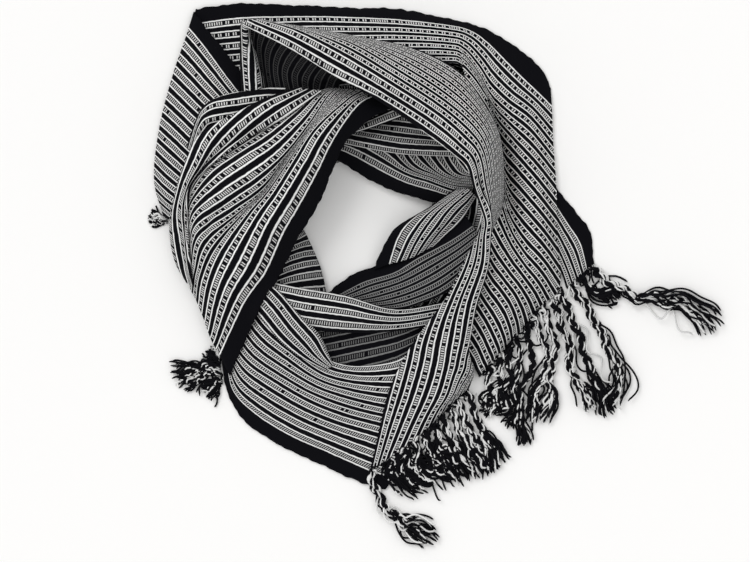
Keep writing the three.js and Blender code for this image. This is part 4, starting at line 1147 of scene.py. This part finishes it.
# %% Lower panel: the fold that slants over it
# Columns: the side that meets the panel, then the bands up to its folded side; rows downwards
PANEL_FOLD = np.array([
    [[248, 302, 18], [254, 296, 22], [260, 290, 26], [266, 284, 28], [270, 280, 27]],
    [[262, 318, 20], [268, 312, 25], [275, 306, 29], [282, 300, 32], [286, 296, 30]],
    [[278, 338, 21], [284, 332, 25], [291, 326, 30], [298, 320, 33], [302, 316, 30]],
    [[294, 352, 20], [300, 348, 23], [306, 343, 27], [314, 338, 30], [318, 334, 28]],
    [[310, 362, 18], [314, 360, 19], [318, 357, 21], [323, 353, 23], [326, 350, 22]],
    [[326, 370, 15], [328, 368.5, 15.5], [330, 367, 16], [332, 365.5, 16.5], [333, 364, 16]],
], float)
lay("lower_panel", PANEL_FOLD, [9.4, 10.1, 10.9, 11.8, 12.4], "fine", folds={"last_column": 2.5},
    creases=[[[[268, 316], [288, 338], [306, 352]], 3.5, -0.8]], unevenness=0.15,
    name="lower_panel_fold")

# %% [markdown]
# ## The roll
#
# The roll lies on the left of the opening. Two bundles of cloth lie side by side in it, with a dark
# crease between them, and a third bends round at its top. One surface can't hold both sides of so deep
# a crease, so each bundle is a piece of its own and they are laid in turn.

# %% Front roll: the bundle at its top
# Columns: top side, then down to the covered part; rows from the right, round the corner and down
ROLL_TOP = np.array([
    [[286, 89.5, 29], [284, 95, 30], [281, 101, 28], [277, 107, 25], [272, 113, 22]],
    [[262, 89.5, 31], [262, 96, 33], [262, 102.5, 32], [262, 109, 29], [262, 115, 25]],
    [[235, 93.5, 31], [235, 100, 34], [236, 106.5, 33], [237, 115, 30], [238, 121, 26]],
    [[215, 100, 28], [214.5, 104, 32], [215, 110, 33], [217, 118, 31], [220, 124, 27]],
    [[203.5, 108, 24], [204, 111.5, 27], [205, 115.5, 29], [207.5, 121, 30], [211, 126, 27]],
    [[198.5, 117, 20], [199.5, 119.5, 23], [200.5, 122, 25], [203, 126, 27], [207, 130, 25]],
    [[194, 130, 17], [195, 131, 19], [196, 133, 20], [198.5, 135, 21], [202, 138, 20]],
    [[188, 148, 12], [189.5, 149, 14], [191, 150, 15], [193, 152, 15], [196, 154, 15]],
], float)
lay("front_roll", ROLL_TOP, [15.1, 14.6, 14.0, 13.4, 12.8], "bold", folds={"first_column": 2.0},
    unevenness=0.1, name="front_roll_bundle")

# %% Front roll: the main part
# Columns: selvedge round the opening, then the bands 0, 1, 2, 3, 4, 5.5, 7, 8.5 and 9.8
ROLL = np.array([
    [[392, 110, 39], [376, 97, 40], [368, 95, 41], [360, 93, 40], [354, 92, 39],
      [349, 91, 37], [343, 91, 36], [338, 90, 34], [333, 90, 32], [328, 90, 30]],
    [[372, 119, 47], [357, 108, 55], [350, 105, 56], [345, 103, 56], [341, 102, 55],
      [338, 101, 54], [334, 99, 52], [328, 98, 50], [320, 97, 46], [311, 96, 38]],
    [[346, 142, 49], [334, 140, 59], [323, 134, 65], [316, 130, 64], [314, 128.5, 62],
      [312.5, 127.5, 61], [311, 126.5, 61], [309, 125, 62], [301, 117, 58], [293, 109, 42]],
    [[332, 172, 46], [318, 172, 57], [305, 165, 65], [296, 161, 63], [291.5, 159.5, 59],
      [289, 158.5, 57], [286.5, 157.5, 57], [283, 156, 60], [272, 142, 58], [263, 131, 38]],
    [[318, 205, 43], [302, 202, 54], [286, 197, 64], [275, 194, 60], [270, 191, 54],
      [268, 190, 53], [265, 188, 54], [258, 178, 59], [244, 160, 53], [234, 150, 30]],
    [[297, 240, 39], [284, 233, 49], [268, 226, 60], [256, 220, 54], [248, 216, 48],
      [243, 214, 46], [236, 211, 48], [226, 199, 53], [216, 180, 44], [207, 168, 24]],
    [[279, 277, 28], [266, 272, 37], [250, 264, 49], [234, 259, 46], [222, 252, 39],
      [213, 247, 36], [201, 237, 37], [197, 221, 38], [193, 206, 28], [189, 198, 17]],
    [[262, 304, 22], [244, 304, 30], [231, 297, 37], [219, 291, 35], [209, 283, 29],
      [201, 275, 25], [194, 265, 24], [191, 248, 22], [189.5, 232, 18], [187.5, 212, 14]],
    [[229, 378, 7], [220, 356, 9], [214, 345, 10], [209, 333, 12], [203, 315, 11],
      [197, 300, 10], [191, 287, 10], [189.5, 270, 10], [188, 250, 10], [187, 225, 10]],
], float)
ROLL_BANDS = [SELVEDGE_SIDE, 0, 1, 2, 3, 4, 5.5, 7, 8.5, 9.8]
ROLL_CREASES = [
    [[[314, 128], [290, 158], [268, 190], [246, 214]], 6, -4.0],
    [[[285, 150], [262, 172], [240, 190], [215, 208]], 8, -3.0],
    [[[296, 140], [272, 160], [250, 176], [222, 192]], 6, 2.2],
    [[[246, 214], [228, 236], [214, 262], [206, 285]], 7, -2.4],
    [[[209, 236], [212, 219], [224, 208], [243, 199]], 5, -5.0],
    [[[300, 180], [285, 212], [268, 245]], 6, 1.8],
    [[[252, 232], [240, 256], [228, 284]], 6, 2.0],
]
lay("front_roll", ROLL, ROLL_BANDS, "bold", folds={"last_section": 2.5}, creases=ROLL_CREASES)

# %% Front roll: its left side
# Columns: outer side, then towards the dark crease beside the main part; rows from the top right down
ROLL_SIDE = np.array([
    [[296, 89, 31], [303, 90, 34], [309, 91, 35], [316, 92, 34], [322, 92, 30]],
    [[264, 100, 37], [269, 104, 42], [275, 108, 43], [282, 112, 39], [289, 116, 31]],
    [[240, 111.5, 38], [245, 118, 44], [250, 123, 45], [255, 128, 39], [259, 133, 28]],
    [[217, 123, 36], [221, 130, 43], [227, 137, 43], [233, 143, 35], [237, 147, 24]],
    [[200, 134, 31], [206, 142, 39], [212, 149, 38], [217, 155, 29], [221, 159, 19]],
    [[188, 155, 26], [195, 163, 34], [200, 167, 33], [203, 169, 25], [205, 171, 16]],
    [[178, 183, 20], [184, 186, 28], [188, 187, 27], [190, 188, 20], [192, 188, 13]],
    [[170.5, 215, 14], [176, 214, 22], [182, 213, 23], [186, 212, 18], [188, 212, 12]],
    [[170.5, 240, 10], [177, 240, 17], [183, 240, 18], [187, 240, 15], [189, 240, 11]],
    [[176, 263, 8], [181, 264, 13], [186, 266, 14], [189, 267, 12], [191, 268, 9]],
    [[187, 282, 6], [189, 283, 9], [191, 284, 10], [193, 285, 9.5], [194, 286, 8]],
], float)
# Columns: the band at the outer side and at the crease, a row for each section
SIDE_BANDS = np.array([
    [12.0, 10.0], [12.0, 10.0], [12.2, 10.1], [12.8, 10.2], [13.2, 10.3], [13.3, 10.4],
    [13.4, 10.4], [13.5, 10.8], [13.5, 11.2], [13.4, 11.6], [13.0, 11.8],
])
side_bands = SIDE_BANDS[:, :1] + (SIDE_BANDS[:, 1:] - SIDE_BANDS[:, :1]) * np.linspace(0, 1, 5)
lay("front_roll", ROLL_SIDE, side_bands, "bold", folds={"first_column": 3.0}, unevenness=0.15,
    name="front_roll_side")

# %% [markdown]
# ## The top fold
#
# The fold runs from the tip at the top corner to the pinch on the right. Its folded edge stands high
# above the inner layers, and from its ridge the cloth falls away outwards, to the back band and the
# fan.

# %% Top fold
# Columns: fold edge, then the bands 1, 2, 4, 7 and 10 from it
TOP = np.array([
    [[245, 26, 54], [252, 22.5, 57], [256, 21.5, 52], [259, 21.5, 40], [262, 22, 26], [265, 22.5, 12]],
    [[290, 49, 62], [294, 40, 66], [298, 33, 60], [301, 30.5, 47], [303, 29.5, 31], [305, 28.5, 14]],
    [[332, 75, 68], [338, 64, 73], [343, 55, 70], [350, 45, 57], [354, 40, 39], [356, 38, 20]],
    [[380, 102, 72], [386, 92, 78], [391, 84, 77], [398, 72, 70], [407, 59, 52], [412, 50, 30]],
    [[425, 132, 74], [432, 122, 79], [437, 114, 78], [444, 102, 72], [453, 87, 56], [459, 74, 36]],
    [[455, 154, 74], [461, 146, 79], [466, 139, 78], [473, 128, 71], [481, 117, 54], [486, 110, 32]],
    [[469, 166, 72], [474, 161, 76], [479, 157, 75], [486, 151, 67], [494, 144, 50], [499, 138, 28]],
    [[475, 190, 64], [480, 188, 69], [485, 186, 68], [491, 183, 61], [498, 180, 46], [503, 177, 26]],
    [[484, 209, 55], [486.5, 208, 58], [489.5, 207, 58], [493, 206, 54], [497, 206, 44], [501, 207, 28]],
    [[487, 222, 46], [488, 222, 47], [489.2, 222, 47], [490.6, 222, 45], [492.4, 222, 40], [494.5, 222, 31]],
    [[485, 234, 38], [485.6, 234, 39], [486.3, 234, 39], [487.1, 234, 37], [488, 234, 34], [489, 234, 30]],
], float)
FOLD_BANDS = [5, 6, 7, 9, 12, 15]
TOP_CREASES = [
    [[[300, 44], [345, 62], [395, 92], [432, 118]], 4, 0.8],
    [[[330, 48], [380, 70], [420, 98]], 5, -1.2],
    [[[398, 66], [430, 90], [456, 118], [470, 140]], 6, 1.2],
]
lay("top_fold", TOP, FOLD_BANDS, "bold", folds={"first_section": 2.0}, creases=TOP_CREASES)

# %% [markdown]
# ## From the tip of the fold down to the fringe
#
# The brightest band of the scarf runs along the edge of the top fold, passes the pinch on the right and
# goes on as the ridge of the front strip, where more and more of the cloth comes out to the left of it.
# It is one piece from the tip to the fringed end. Along the top fold it is only one band wide, and its
# inner side lies in a black stripe, where it can't be told from the cloth below it.

# %% Front strip
# Columns: left or outer side, three places across, right or inner side; rows from the tip down to the fringe
STRIP = np.array([
    [[243.6, 26.6, 52], [245.6, 25.2, 56], [247.6, 24.2, 58], [249.4, 23.3, 59], [250.8, 22.6, 58]],
    [[289.5, 50, 62], [290.6, 47.5, 65], [291.6, 45.5, 67], [292.5, 43.5, 67], [293.3, 41.6, 67]],
    [[331.5, 76, 68], [333, 73, 72], [334.4, 70.5, 74], [335.7, 68, 75], [337, 65.8, 74]],
    [[379.3, 103.4, 72], [381, 100.5, 76], [382.4, 98, 78], [383.8, 95.7, 79], [385, 93.6, 79]],
    [[423.8, 134.2, 74], [425.8, 131, 78], [427.6, 128.4, 80], [429.4, 125.8, 80], [431, 123.6, 80]],
    [[453.6, 156.6, 74], [455.5, 153.8, 78], [457.1, 151.4, 80], [458.6, 149.2, 80], [460, 147.3, 80]],
    [[466.6, 169.4, 71], [468.5, 167, 75], [470.2, 165.2, 77], [471.8, 163.6, 77], [473.2, 162.2, 76]],
    [[473.6, 190.6, 65], [475.4, 190, 69], [477, 189.4, 71], [478.5, 188.9, 71], [479.8, 188.4, 69]],
    [[480, 208.6, 57], [482, 208.8, 61], [484.4, 209, 63], [486.8, 209.2, 62], [489, 209.4, 58]],
    [[481.4, 222, 51], [483.6, 222.4, 56], [486.2, 222.8, 60], [488.6, 223.2, 60], [491, 223.6, 55]],
    [[477, 236, 44], [479.5, 236, 50], [482.8, 236, 55], [486.6, 236, 58], [490.4, 236, 52]],
    [[464, 260, 34], [470, 262, 42], [476, 264, 48], [482.5, 266, 52], [488, 268, 45]],
    [[444, 298, 24], [453, 300, 33], [461, 302, 39], [470, 304, 43], [477, 306, 37]],
    [[414, 337, 15], [428, 339, 24], [444, 342, 31], [459, 345, 33], [470, 348, 28]],
    [[394, 365, 9], [418, 366, 17], [445, 368, 23], [464, 370, 23], [474, 366, 18]],
    [[379, 393, 4], [410, 396, 11], [445, 393, 15], [462, 386, 15], [477, 373, 12]],
    [[373, 428, 2], [397, 431, 6], [434, 412, 9], [457, 394, 10], [477, 376, 9]],
    [[365, 474, 1], [386, 460, 2], [425, 430, 3], [453, 401, 3], [477, 379, 4]],
], float)
# Columns: the band at the first side and at the last side, and how round each of them turns under, in mm
STRIP_SIDES = np.array([
    [5.0, 5.85, 3.0, 0.2], [5.0, 5.85, 4.0, 0.2], [5.0, 5.85, 4.5, 0.2], [4.7, 5.85, 4.5, 0.2],
    [4.5, 5.85, 4.5, 0.2], [4.5, 5.85, 4.5, 0.2], [4.5, 5.85, 4.0, 0.2], [4.6, 5.85, 3.0, 0.3],
    [4.5, 5.9, 2.0, 0.8], [3.9, 6.0, 1.2, 1.5], [3.1, 6.0, 1.2, 2.5], [2.1, 6.0, 1.5, 4.0],
    [1.9, 6.0, 2.0, 4.0], [0.6, 6.0, 1.5, 3.5], [-0.5, 8.0, 0.8, 3.0], [SELVEDGE_SIDE, 10.0, 0.2, 2.0],
    [SELVEDGE_SIDE, 10.0, 0.2, 1.0], [SELVEDGE_SIDE, 10.0, 0.2, 0.3],
])
first_band, last_band, first_turn, last_turn = STRIP_SIDES.T
strip_bands = first_band[:, None] + (last_band - first_band)[:, None] * np.linspace(0, 1, 5)
STRIP_CREASES = [
    [[[484, 232], [474, 268], [458, 306], [440, 350]], 5, -1.8],
    [[[470, 300], [456, 340], [446, 372]], 6, 1.5],
    [[[446, 330], [424, 368], [404, 410], [388, 450]], 8, 1.6],
    [[[430, 352], [412, 384], [398, 420]], 6, -1.6],
]
strip_turns = {"first_column": first_turn, "last_column": last_turn}
lay("front_strip", STRIP, strip_bands, "bold", folds=strip_turns, creases=STRIP_CREASES)

# %% [markdown]
# ## The fringe
#
# At each end the warp threads are gathered, knotted and twisted into two-ply cords, and the last few
# centimetres are left loose. A cord with a striped picture on it would look like rope in plastic, so
# every tassel is a bundle of separate yarns. All of its yarns are worked out at once: they start spread
# along the cloth's end, run together, wind round each other and open out at the tip. About one yarn in
# seven is white, and one in twelve on the front strip.

# %% Sizes of the fringe
YARNS = 34
YARN_RADIUS = 0.95
CORD_RADIUS = 5.2
TWIST_PITCH = 23.0
YARN_SIDES = 4
FRINGE_FOOT = 1.6
WHITE_SHARE = 0.15
GATHERED_WITHIN = 5.0
FLOOR_GAP = 0.25
ANY_PHASE = (0, 6)

# %% The yarn's own finish
FLUFF = {"scale": 900.0, "detail": 3.0, "share": 0.5, "least": 0.65}
YARN_SURFACE = {"Roughness": 0.95, "Specular IOR Level": 0.1}
YARN_RELIEF = {"strength": 0.5, "depth": 0.0003}

yarn_cotton = bpy.data.materials.new("fringe_yarn")
yarn_cotton.use_nodes = True
yarn_tree = yarn_cotton.node_tree
tone = yarn_tree.nodes.new("ShaderNodeAttribute")
tone.attribute_name = "tone"
yarn_place = yarn_tree.nodes.new("ShaderNodeTexCoord")
fluff = noise(yarn_tree, yarn_place.outputs["Object"], FLUFF["scale"], FLUFF["detail"])
yarn_tone = maths(yarn_tree, "MULTIPLY_ADD", fluff, FLUFF["share"], FLUFF["least"])
yarn_tone = maths(yarn_tree, "MULTIPLY", tone.outputs["Fac"], yarn_tone)
yarn_colour = mix_colours(yarn_tree, yarn_tone, BLACK_COTTON, WHITE_COTTON)
yarn_shader = yarn_tree.nodes["Principled BSDF"]
yarn_tree.links.new(yarn_colour, yarn_shader.inputs["Base Color"])
for socket, value in YARN_SURFACE.items():
    yarn_shader.inputs[socket].default_value = value
add_bump(yarn_tree, yarn_shader, fluff, YARN_RELIEF["strength"], YARN_RELIEF["depth"])

# %% The line of a tassel
YARN_STEP = 2.1
LEAST_STEPS = 16
MOST_STEPS = 54
SWAY = 1.3
SWAY_LENGTH = 31
SWAY_FROM = 0.15


def tassel_line(route, full, random):
    """The smooth route plus a sine to the side, with its directions, each step's share and the length."""
    length = np.linalg.norm(np.diff(np.asarray(route), axis=0), axis=1).sum()
    steps = int(np.clip(length / YARN_STEP, LEAST_STEPS, MOST_STEPS))
    line = smooth_line(route, steps)
    forwards = np.gradient(line, axis=0)
    forwards /= np.linalg.norm(forwards, axis=1, keepdims=True)
    sideways = np.stack([-forwards[:, 1], forwards[:, 0], np.zeros(steps)], axis=1)
    sideways /= np.linalg.norm(sideways, axis=1, keepdims=True)
    share = np.linspace(0, 1, steps)
    swaying = np.sin(2 * np.pi * length * share / SWAY_LENGTH + random.uniform(*ANY_PHASE))
    swaying = swaying * eased(share / SWAY_FROM)
    return line + (SWAY * full * swaying)[:, None] * sideways, forwards, sideways, share, length


# %% Two plies wound round each other
PLY_COUNTER_TWIST = -1.2
WHITE_OUTSIDE = 1.04
BLACK_INSIDE = (0.5, 1.0)


def wound(turned, white, full, random):
    """Sideways and up: half the cord's radius at the ply's angle, plus as much at the yarn's own angle.

    White yarns lie on the outside of their ply, where they show as bright windings on a black cord."""
    yarn = np.arange(YARNS)
    ply_angle = turned + random.uniform(*ANY_PHASE) + np.pi * (yarn % 2)[:, None]
    yarn_angle = PLY_COUNTER_TWIST * ply_angle + (2 * np.pi * (yarn // 2) / (YARNS / 2))[:, None]
    inside = np.where(white, WHITE_OUTSIDE, random.uniform(*BLACK_INSIDE, YARNS))[:, None]
    side = CORD_RADIUS * full * (0.5 * np.cos(ply_angle) + 0.5 * inside * np.cos(yarn_angle))
    up = CORD_RADIUS * full * (0.5 * np.sin(ply_angle) + 0.5 * inside * np.sin(yarn_angle))
    return side, up


# %% Loose ends
EACH = (YARNS, 1)
LEAVES = {"spread": 0.08, "least": 0.05, "most": 0.9, "opens_within": 0.3}
STRAYS = {"chance": 0.09, "leaves": (0.1, 0.4), "reach": 1.7}
CURLS = {"white": (1.2, 2.4), "black": (0.3, 1.3), "size": 3.0}
LOOSE = {"side": 2.6, "side_grows": 11.0, "white_up": 3.2, "black_up": 2.6, "sunk": 1.0, "ends": (-12, 4)}


def loose_ends(share, white, full, loosened, random):
    """How far each yarn is open, and its loose place: sideways, up, and how much further on it ends.

    Each yarn leaves the cord at a place of its own and wanders away from it; a few leave early and stray."""
    strays = random.uniform(size=EACH) < STRAYS["chance"]
    leaves = np.clip(random.normal(loosened, LEAVES["spread"], EACH), LEAVES["least"], LEAVES["most"])
    leaves = np.where(strays, random.uniform(*STRAYS["leaves"], EACH), leaves)
    reach = np.where(strays, STRAYS["reach"], 1.0) * full
    opened = eased((share - leaves) / LEAVES["opens_within"])
    since = np.clip(share - leaves, 0, 1)
    white_curls = random.uniform(*CURLS["white"], EACH)
    black_curls = random.uniform(*CURLS["black"], EACH)
    curls = np.where(white[:, None], white_curls, black_curls)
    phase = random.uniform(*ANY_PHASE, EACH)
    wander = np.sin(2 * np.pi * curls * since * 2 + phase) * CURLS["size"] * reach
    side = random.normal(0, 1, EACH) * reach * (LOOSE["side"] + LOOSE["side_grows"] * since) + wander
    black_up = np.abs(random.normal(0, 1, EACH)) * LOOSE["black_up"]
    up = np.where(white[:, None], LOOSE["white_up"], black_up) * full
    up = up + 0.5 * wander - LOOSE["sunk"]
    ends = (random.uniform(*LOOSE["ends"], EACH) * full + 0.5 * wander) * opened
    return opened, side, up, ends


# %% Yarns of one tassel
def tassel_yarns(route, across, width, random, white, full, loosened):
    """(yarn, step, place): the route plus an offset, from a row, to two wound plies, to loose ends."""
    line, forwards, sideways, share, length = tassel_line(route, full, random)
    cord_side, cord_up = wound(2 * np.pi * length * share / TWIST_PITCH, white, full, random)
    opened, loose_side, loose_up, ends = loose_ends(share, white, full, loosened, random)
    in_row = 1 - eased(share * length / GATHERED_WITHIN)
    side = (1 - in_row) * ((1 - opened) * cord_side + opened * loose_side)
    up = (1 - in_row) * ((1 - opened) * cord_up + opened * loose_up)
    row_side = ((np.arange(YARNS) + 0.5) / YARNS - 0.5)[:, None] * width
    places = line + side[..., None] * sideways + ends[..., None] * forwards
    places[..., :2] += (in_row * row_side)[..., None] * across
    places[..., 2] += up
    places[..., 2] = np.maximum(places[..., 2], YARN_RADIUS + FLOOR_GAP)
    return places


# %% Single threads between the tassels
WISP_STEPS = 12
WISP_LINE = 200
WISP = {
    "at": (0.02, 0.98), "turn": 0.6, "length": (5, 17),
    "sway": (0.6, 2.6), "waves": (0.4, 1.5), "up": (0.5, 6),
}


def loose_wisps(line, shares, outwards, count, random):
    """(wisp, step, place): short threads from the cloth's end, p = root + out + a sine to the side."""
    line = smooth_line(line, WISP_LINE + 1)
    at = random.uniform(*WISP["at"], count)
    order = np.argsort(shares)
    out = np.stack([np.interp(at, shares[order], outwards[order, axis]) for axis in range(2)], axis=1)
    angle = random.normal(0, WISP["turn"], count)
    out = np.stack([out[:, 0] * np.cos(angle) - out[:, 1] * np.sin(angle),
                    out[:, 0] * np.sin(angle) + out[:, 1] * np.cos(angle)], axis=1)
    share = np.linspace(0, 1, WISP_STEPS)
    length = random.uniform(*WISP["length"], (count, 1))
    sway = random.uniform(*WISP["sway"], (count, 1))
    waves = random.uniform(*WISP["waves"], (count, 1))
    sway = sway * np.sin(2 * np.pi * waves * share + random.uniform(*ANY_PHASE, (count, 1)))
    sway = sway - sway[:, :1]
    root = line[(at * WISP_LINE).astype(int)]
    square = np.stack([-out[:, 1], out[:, 0]], axis=1)
    places = np.zeros((count, WISP_STEPS, 3))
    onwards = (length * share)[..., None] * out[:, None]
    places[..., :2] = root[:, None] + onwards + sway[..., None] * square[:, None]
    places[..., 2] = FRINGE_FOOT + np.abs(np.sin(np.pi * share)) * random.uniform(*WISP["up"], (count, 1))
    return places


# %% Tubes from lines
TIP = 0.4


def tubes(lines, radius):
    """A ring round each step of each line, p = line + r (cos a sideways + sin a upwards), and caps."""
    count, steps = lines.shape[:2]
    forwards = np.gradient(lines, axis=1)
    forwards /= np.linalg.norm(forwards, axis=-1, keepdims=True) + TINY
    sideways = np.cross(forwards, [0, 0, 1.0])
    sideways /= np.linalg.norm(sideways, axis=-1, keepdims=True) + TINY
    upwards = np.cross(sideways, forwards)
    angles = np.arange(YARN_SIDES) / YARN_SIDES * 2 * np.pi
    ring = np.cos(angles)[:, None] * sideways[:, :, None] + np.sin(angles)[:, None] * upwards[:, :, None]
    thin = np.ones(steps)
    thin[-1] = TIP
    places = lines[:, :, None] + radius * thin[None, :, None, None] * ring
    index = np.arange(count * steps * YARN_SIDES).reshape(count, steps, YARN_SIDES)
    beside = np.roll(index, -1, axis=2)
    sides = np.stack([index[:, :-1], index[:, 1:], beside[:, 1:], beside[:, :-1]], axis=-1)
    quads = np.concatenate([sides.reshape(-1, 4), index[:, 0], index[:, -1, ::-1]])
    return places.reshape(-1, 3), quads


def tube_mesh(name, bundles, tones, radius):
    """All tubes of a run of fringe as one mesh, with each yarn's tone as an attribute."""
    vertices, quads, shades, first = [], [], [], 0
    for lines, line_tones in zip(bundles, tones):
        places, faces = tubes(lines, radius)
        vertices.append(places)
        quads.append(faces + first)
        shades.append(np.repeat(line_tones, lines.shape[1] * YARN_SIDES))
        first += len(places)
    mesh = quad_mesh(name, np.concatenate(vertices), np.concatenate(quads))
    shade = mesh.attributes.new("tone", "FLOAT", "POINT")
    shade.data.foreach_set("value", np.concatenate(shades))
    mesh.validate()
    mesh.materials.append(yarn_cotton)
    return mesh


# %% One run of fringe
STRIP_PLACES = 60
LINE_STEPS = 100
ROOT_REACH = 2
WIDEST_ROOT = 8.0
ROOT_SHARE = 0.8
WHITE_TONES = (0.8, 1.0)
WISP_WHITE_SHARE = 0.25
WISP_TONE = 0.9


def strip_line(net, first, last, parted):
    """The cloth's end between two of its columns, moved out square to it."""
    stops = np.linspace(first, last, STRIP_PLACES)
    end = weights_for(net.shape[1], stops) @ net[-1, :, :2]
    inner = weights_for(net.shape[1], stops) @ net[-2, :, :2]
    along = np.gradient(end, axis=0)
    square = np.stack([along[:, 1], -along[:, 0]], axis=1)
    square /= np.linalg.norm(square, axis=1, keepdims=True)
    square *= np.sign((square * (end - inner)).sum(axis=1, keepdims=True))
    return end + parted * square


def make_fringe(node, line, tassels, seed, lift=3.8, wisps=0.5, white_share=WHITE_SHARE):
    """Yarns for every tassel, and single threads between them, wisps of them for each millimetre."""
    random = np.random.default_rng(seed)
    line = np.asarray(line, float)
    smooth = smooth_line(line, LINE_STEPS + 1)
    run = np.linalg.norm(np.diff(line, axis=0), axis=1).sum()
    width = min(WIDEST_ROOT, ROOT_SHARE * run / len(tassels))
    bundles, tones, outwards = [], [], []
    for share, full, loosened, *places in tassels:
        stop = int(round(share * LINE_STEPS))
        across = smooth[min(LINE_STEPS, stop + ROOT_REACH)] - smooth[max(0, stop - ROOT_REACH)]
        across /= np.linalg.norm(across)
        route = [[*smooth[stop], FRINGE_FOOT]]
        route += [[*place, lift * (0.5 + 0.5 * full)] for place in places]
        out = np.asarray(places[0]) - smooth[stop]
        outwards.append(out / np.linalg.norm(out))
        white = random.uniform(size=YARNS) < white_share
        bundles.append(tassel_yarns(route, across, width, random, white, full, loosened))
        tones.append(np.where(white, random.uniform(*WHITE_TONES, YARNS), 0.0))
    count = max(2, int(run * wisps))
    shares = np.array([row[0] for row in tassels])
    bundles.append(loose_wisps(line, shares, np.array(outwards), count, random))
    tones.append(np.where(random.uniform(size=count) < WISP_WHITE_SHARE, WISP_TONE, 0.0))
    mesh = tube_mesh(node + "_yarns", bundles, tones, YARN_RADIUS)
    piece = placed(node + "_yarns", mesh)
    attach(piece, "root")
    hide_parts(node)
    print(f"{node}: {len(tassels)} tassels, {len(mesh.polygons)} faces")


# %% [markdown]
# ## Where the tassels lie
#
# A row for each tassel: its root as a share of the strip, how full it is, the share of its length after
# which its yarns are loose, then the places that it runs through on the plan. The tassels of the front
# strip lie close together and point down to the right.

# %% Tail and fan tassels
# Columns: share of the strip, fullness, share of the length after which it is loose, places on the plan
TAIL_TASSELS = [
    [0.06, 1.0, 0.36, [600, 276], [612, 284], [634, 296], [660, 298], [688, 306], [714, 330]],
    [0.5, 0.5, 0.2, [593, 291], [602, 294], [612, 290], [621, 297]],
    [0.94, 0.9, 0.72, [586, 306], [600, 331], [610, 352], [620, 376], [612, 404]],
]
FAN_TASSELS = [
    [0.02, 0.8, 0.66, [570, 315], [580, 338], [588, 364], [600, 388], [611, 412]],
    [0.11, 0.86, 0.7, [560, 322], [569, 346], [571, 372], [586, 392], [594, 408]],
    [0.22, 0.8, 0.6, [551, 332], [556, 352], [549, 376], [551, 396], [541, 420]],
    [0.33, 0.72, 0.7, [542, 340], [548, 358], [541, 380], [534, 400], [532, 420]],
    [0.45, 0.66, 0.74, [530, 350], [534, 364], [524, 382], [520, 402], [524, 444]],
    [0.57, 0.6, 0.74, [520, 358], [519, 372], [513, 388], [519, 404], [513, 428]],
    [0.68, 0.7, 0.6, [509, 364], [510, 378], [503, 392], [508, 408], [498, 414]],
    [0.79, 0.66, 0.6, [500, 372], [501, 384], [492, 394], [495, 406], [490, 412]],
    [0.92, 0.6, 0.6, [488, 380], [490, 390], [484, 398], [488, 408], [484, 414]],
]
make_fringe("fringe_tail", strip_line(TAIL_LAYER, 0.1, 2.8, 0.3), TAIL_TASSELS, seed=11)
make_fringe("fringe_fan", strip_line(RIGHT_FAN, 5.0, 8.8, 0.3), FAN_TASSELS, seed=12)

# %% Front tassels
FRONT_TASSELS = [
    [0.97, 0.7, 0.5, [472, 402], [477, 420], [487, 438], [499, 466]],
    [0.88, 0.8, 0.5, [463, 412], [469, 430], [482, 446], [494, 470]],
    [0.8, 0.72, 0.4, [455, 420], [463, 436], [475, 450], [488, 472]],
    [0.71, 0.8, 0.4, [447, 428], [452, 442], [462, 454], [478, 474]],
    [0.62, 0.72, 0.3, [438, 436], [441, 448], [450, 458], [466, 474]],
    [0.53, 0.8, 0.3, [429, 444], [430, 455], [438, 464], [454, 474]],
    [0.44, 0.72, 0.25, [419, 450], [418, 461], [425, 469], [442, 476]],
    [0.35, 0.8, 0.2, [409, 456], [407, 467], [414, 474], [430, 479]],
    [0.26, 0.7, 0.2, [399, 462], [398, 471], [405, 477], [420, 482]],
    [0.17, 0.6, 0.2, [389, 469], [391, 476], [399, 480], [410, 486]],
    [0.02, 0.9, 0.45, [373, 480], [377, 492], [386, 508], [402, 520], [436, 537]],
]
front_line = strip_line(STRIP, 0.2, 3.6, 0.3)
make_fringe("fringe_front", front_line, FRONT_TASSELS, seed=13, white_share=0.08)

# %% What shows of the other end's tassels
TUFT_LOW = [
    [0.05, 0.4, 0.1, [214, 356], [210, 352], [208, 350]],
    [0.3, 0.6, 0.1, [210, 365], [200, 369], [190, 372], [175, 378]],
    [0.55, 0.7, 0.1, [212, 372], [203, 373], [194, 377], [184, 383]],
    [0.9, 0.5, 0.1, [217, 382], [213, 386], [209, 390], [205, 393]],
]
TUFT_HIGH = [
    [0.2, 0.35, 0.1, [160, 217.5], [157, 216.5], [154, 215.5], [150, 214]],
    [0.9, 0.35, 0.1, [161, 223], [157, 223], [154, 223], [151, 223]],
]
low_line = [[219.8, 361], [220.7, 371], [222.7, 384]]
high_line = [[164.8, 216.1], [167.8, 222.1]]
make_fringe("tuft_left_low", low_line, TUFT_LOW, seed=14, lift=3.0, wisps=0.3)
make_fringe("tuft_left_high", high_line, TUFT_HIGH, seed=15, lift=2.2, wisps=0.3)
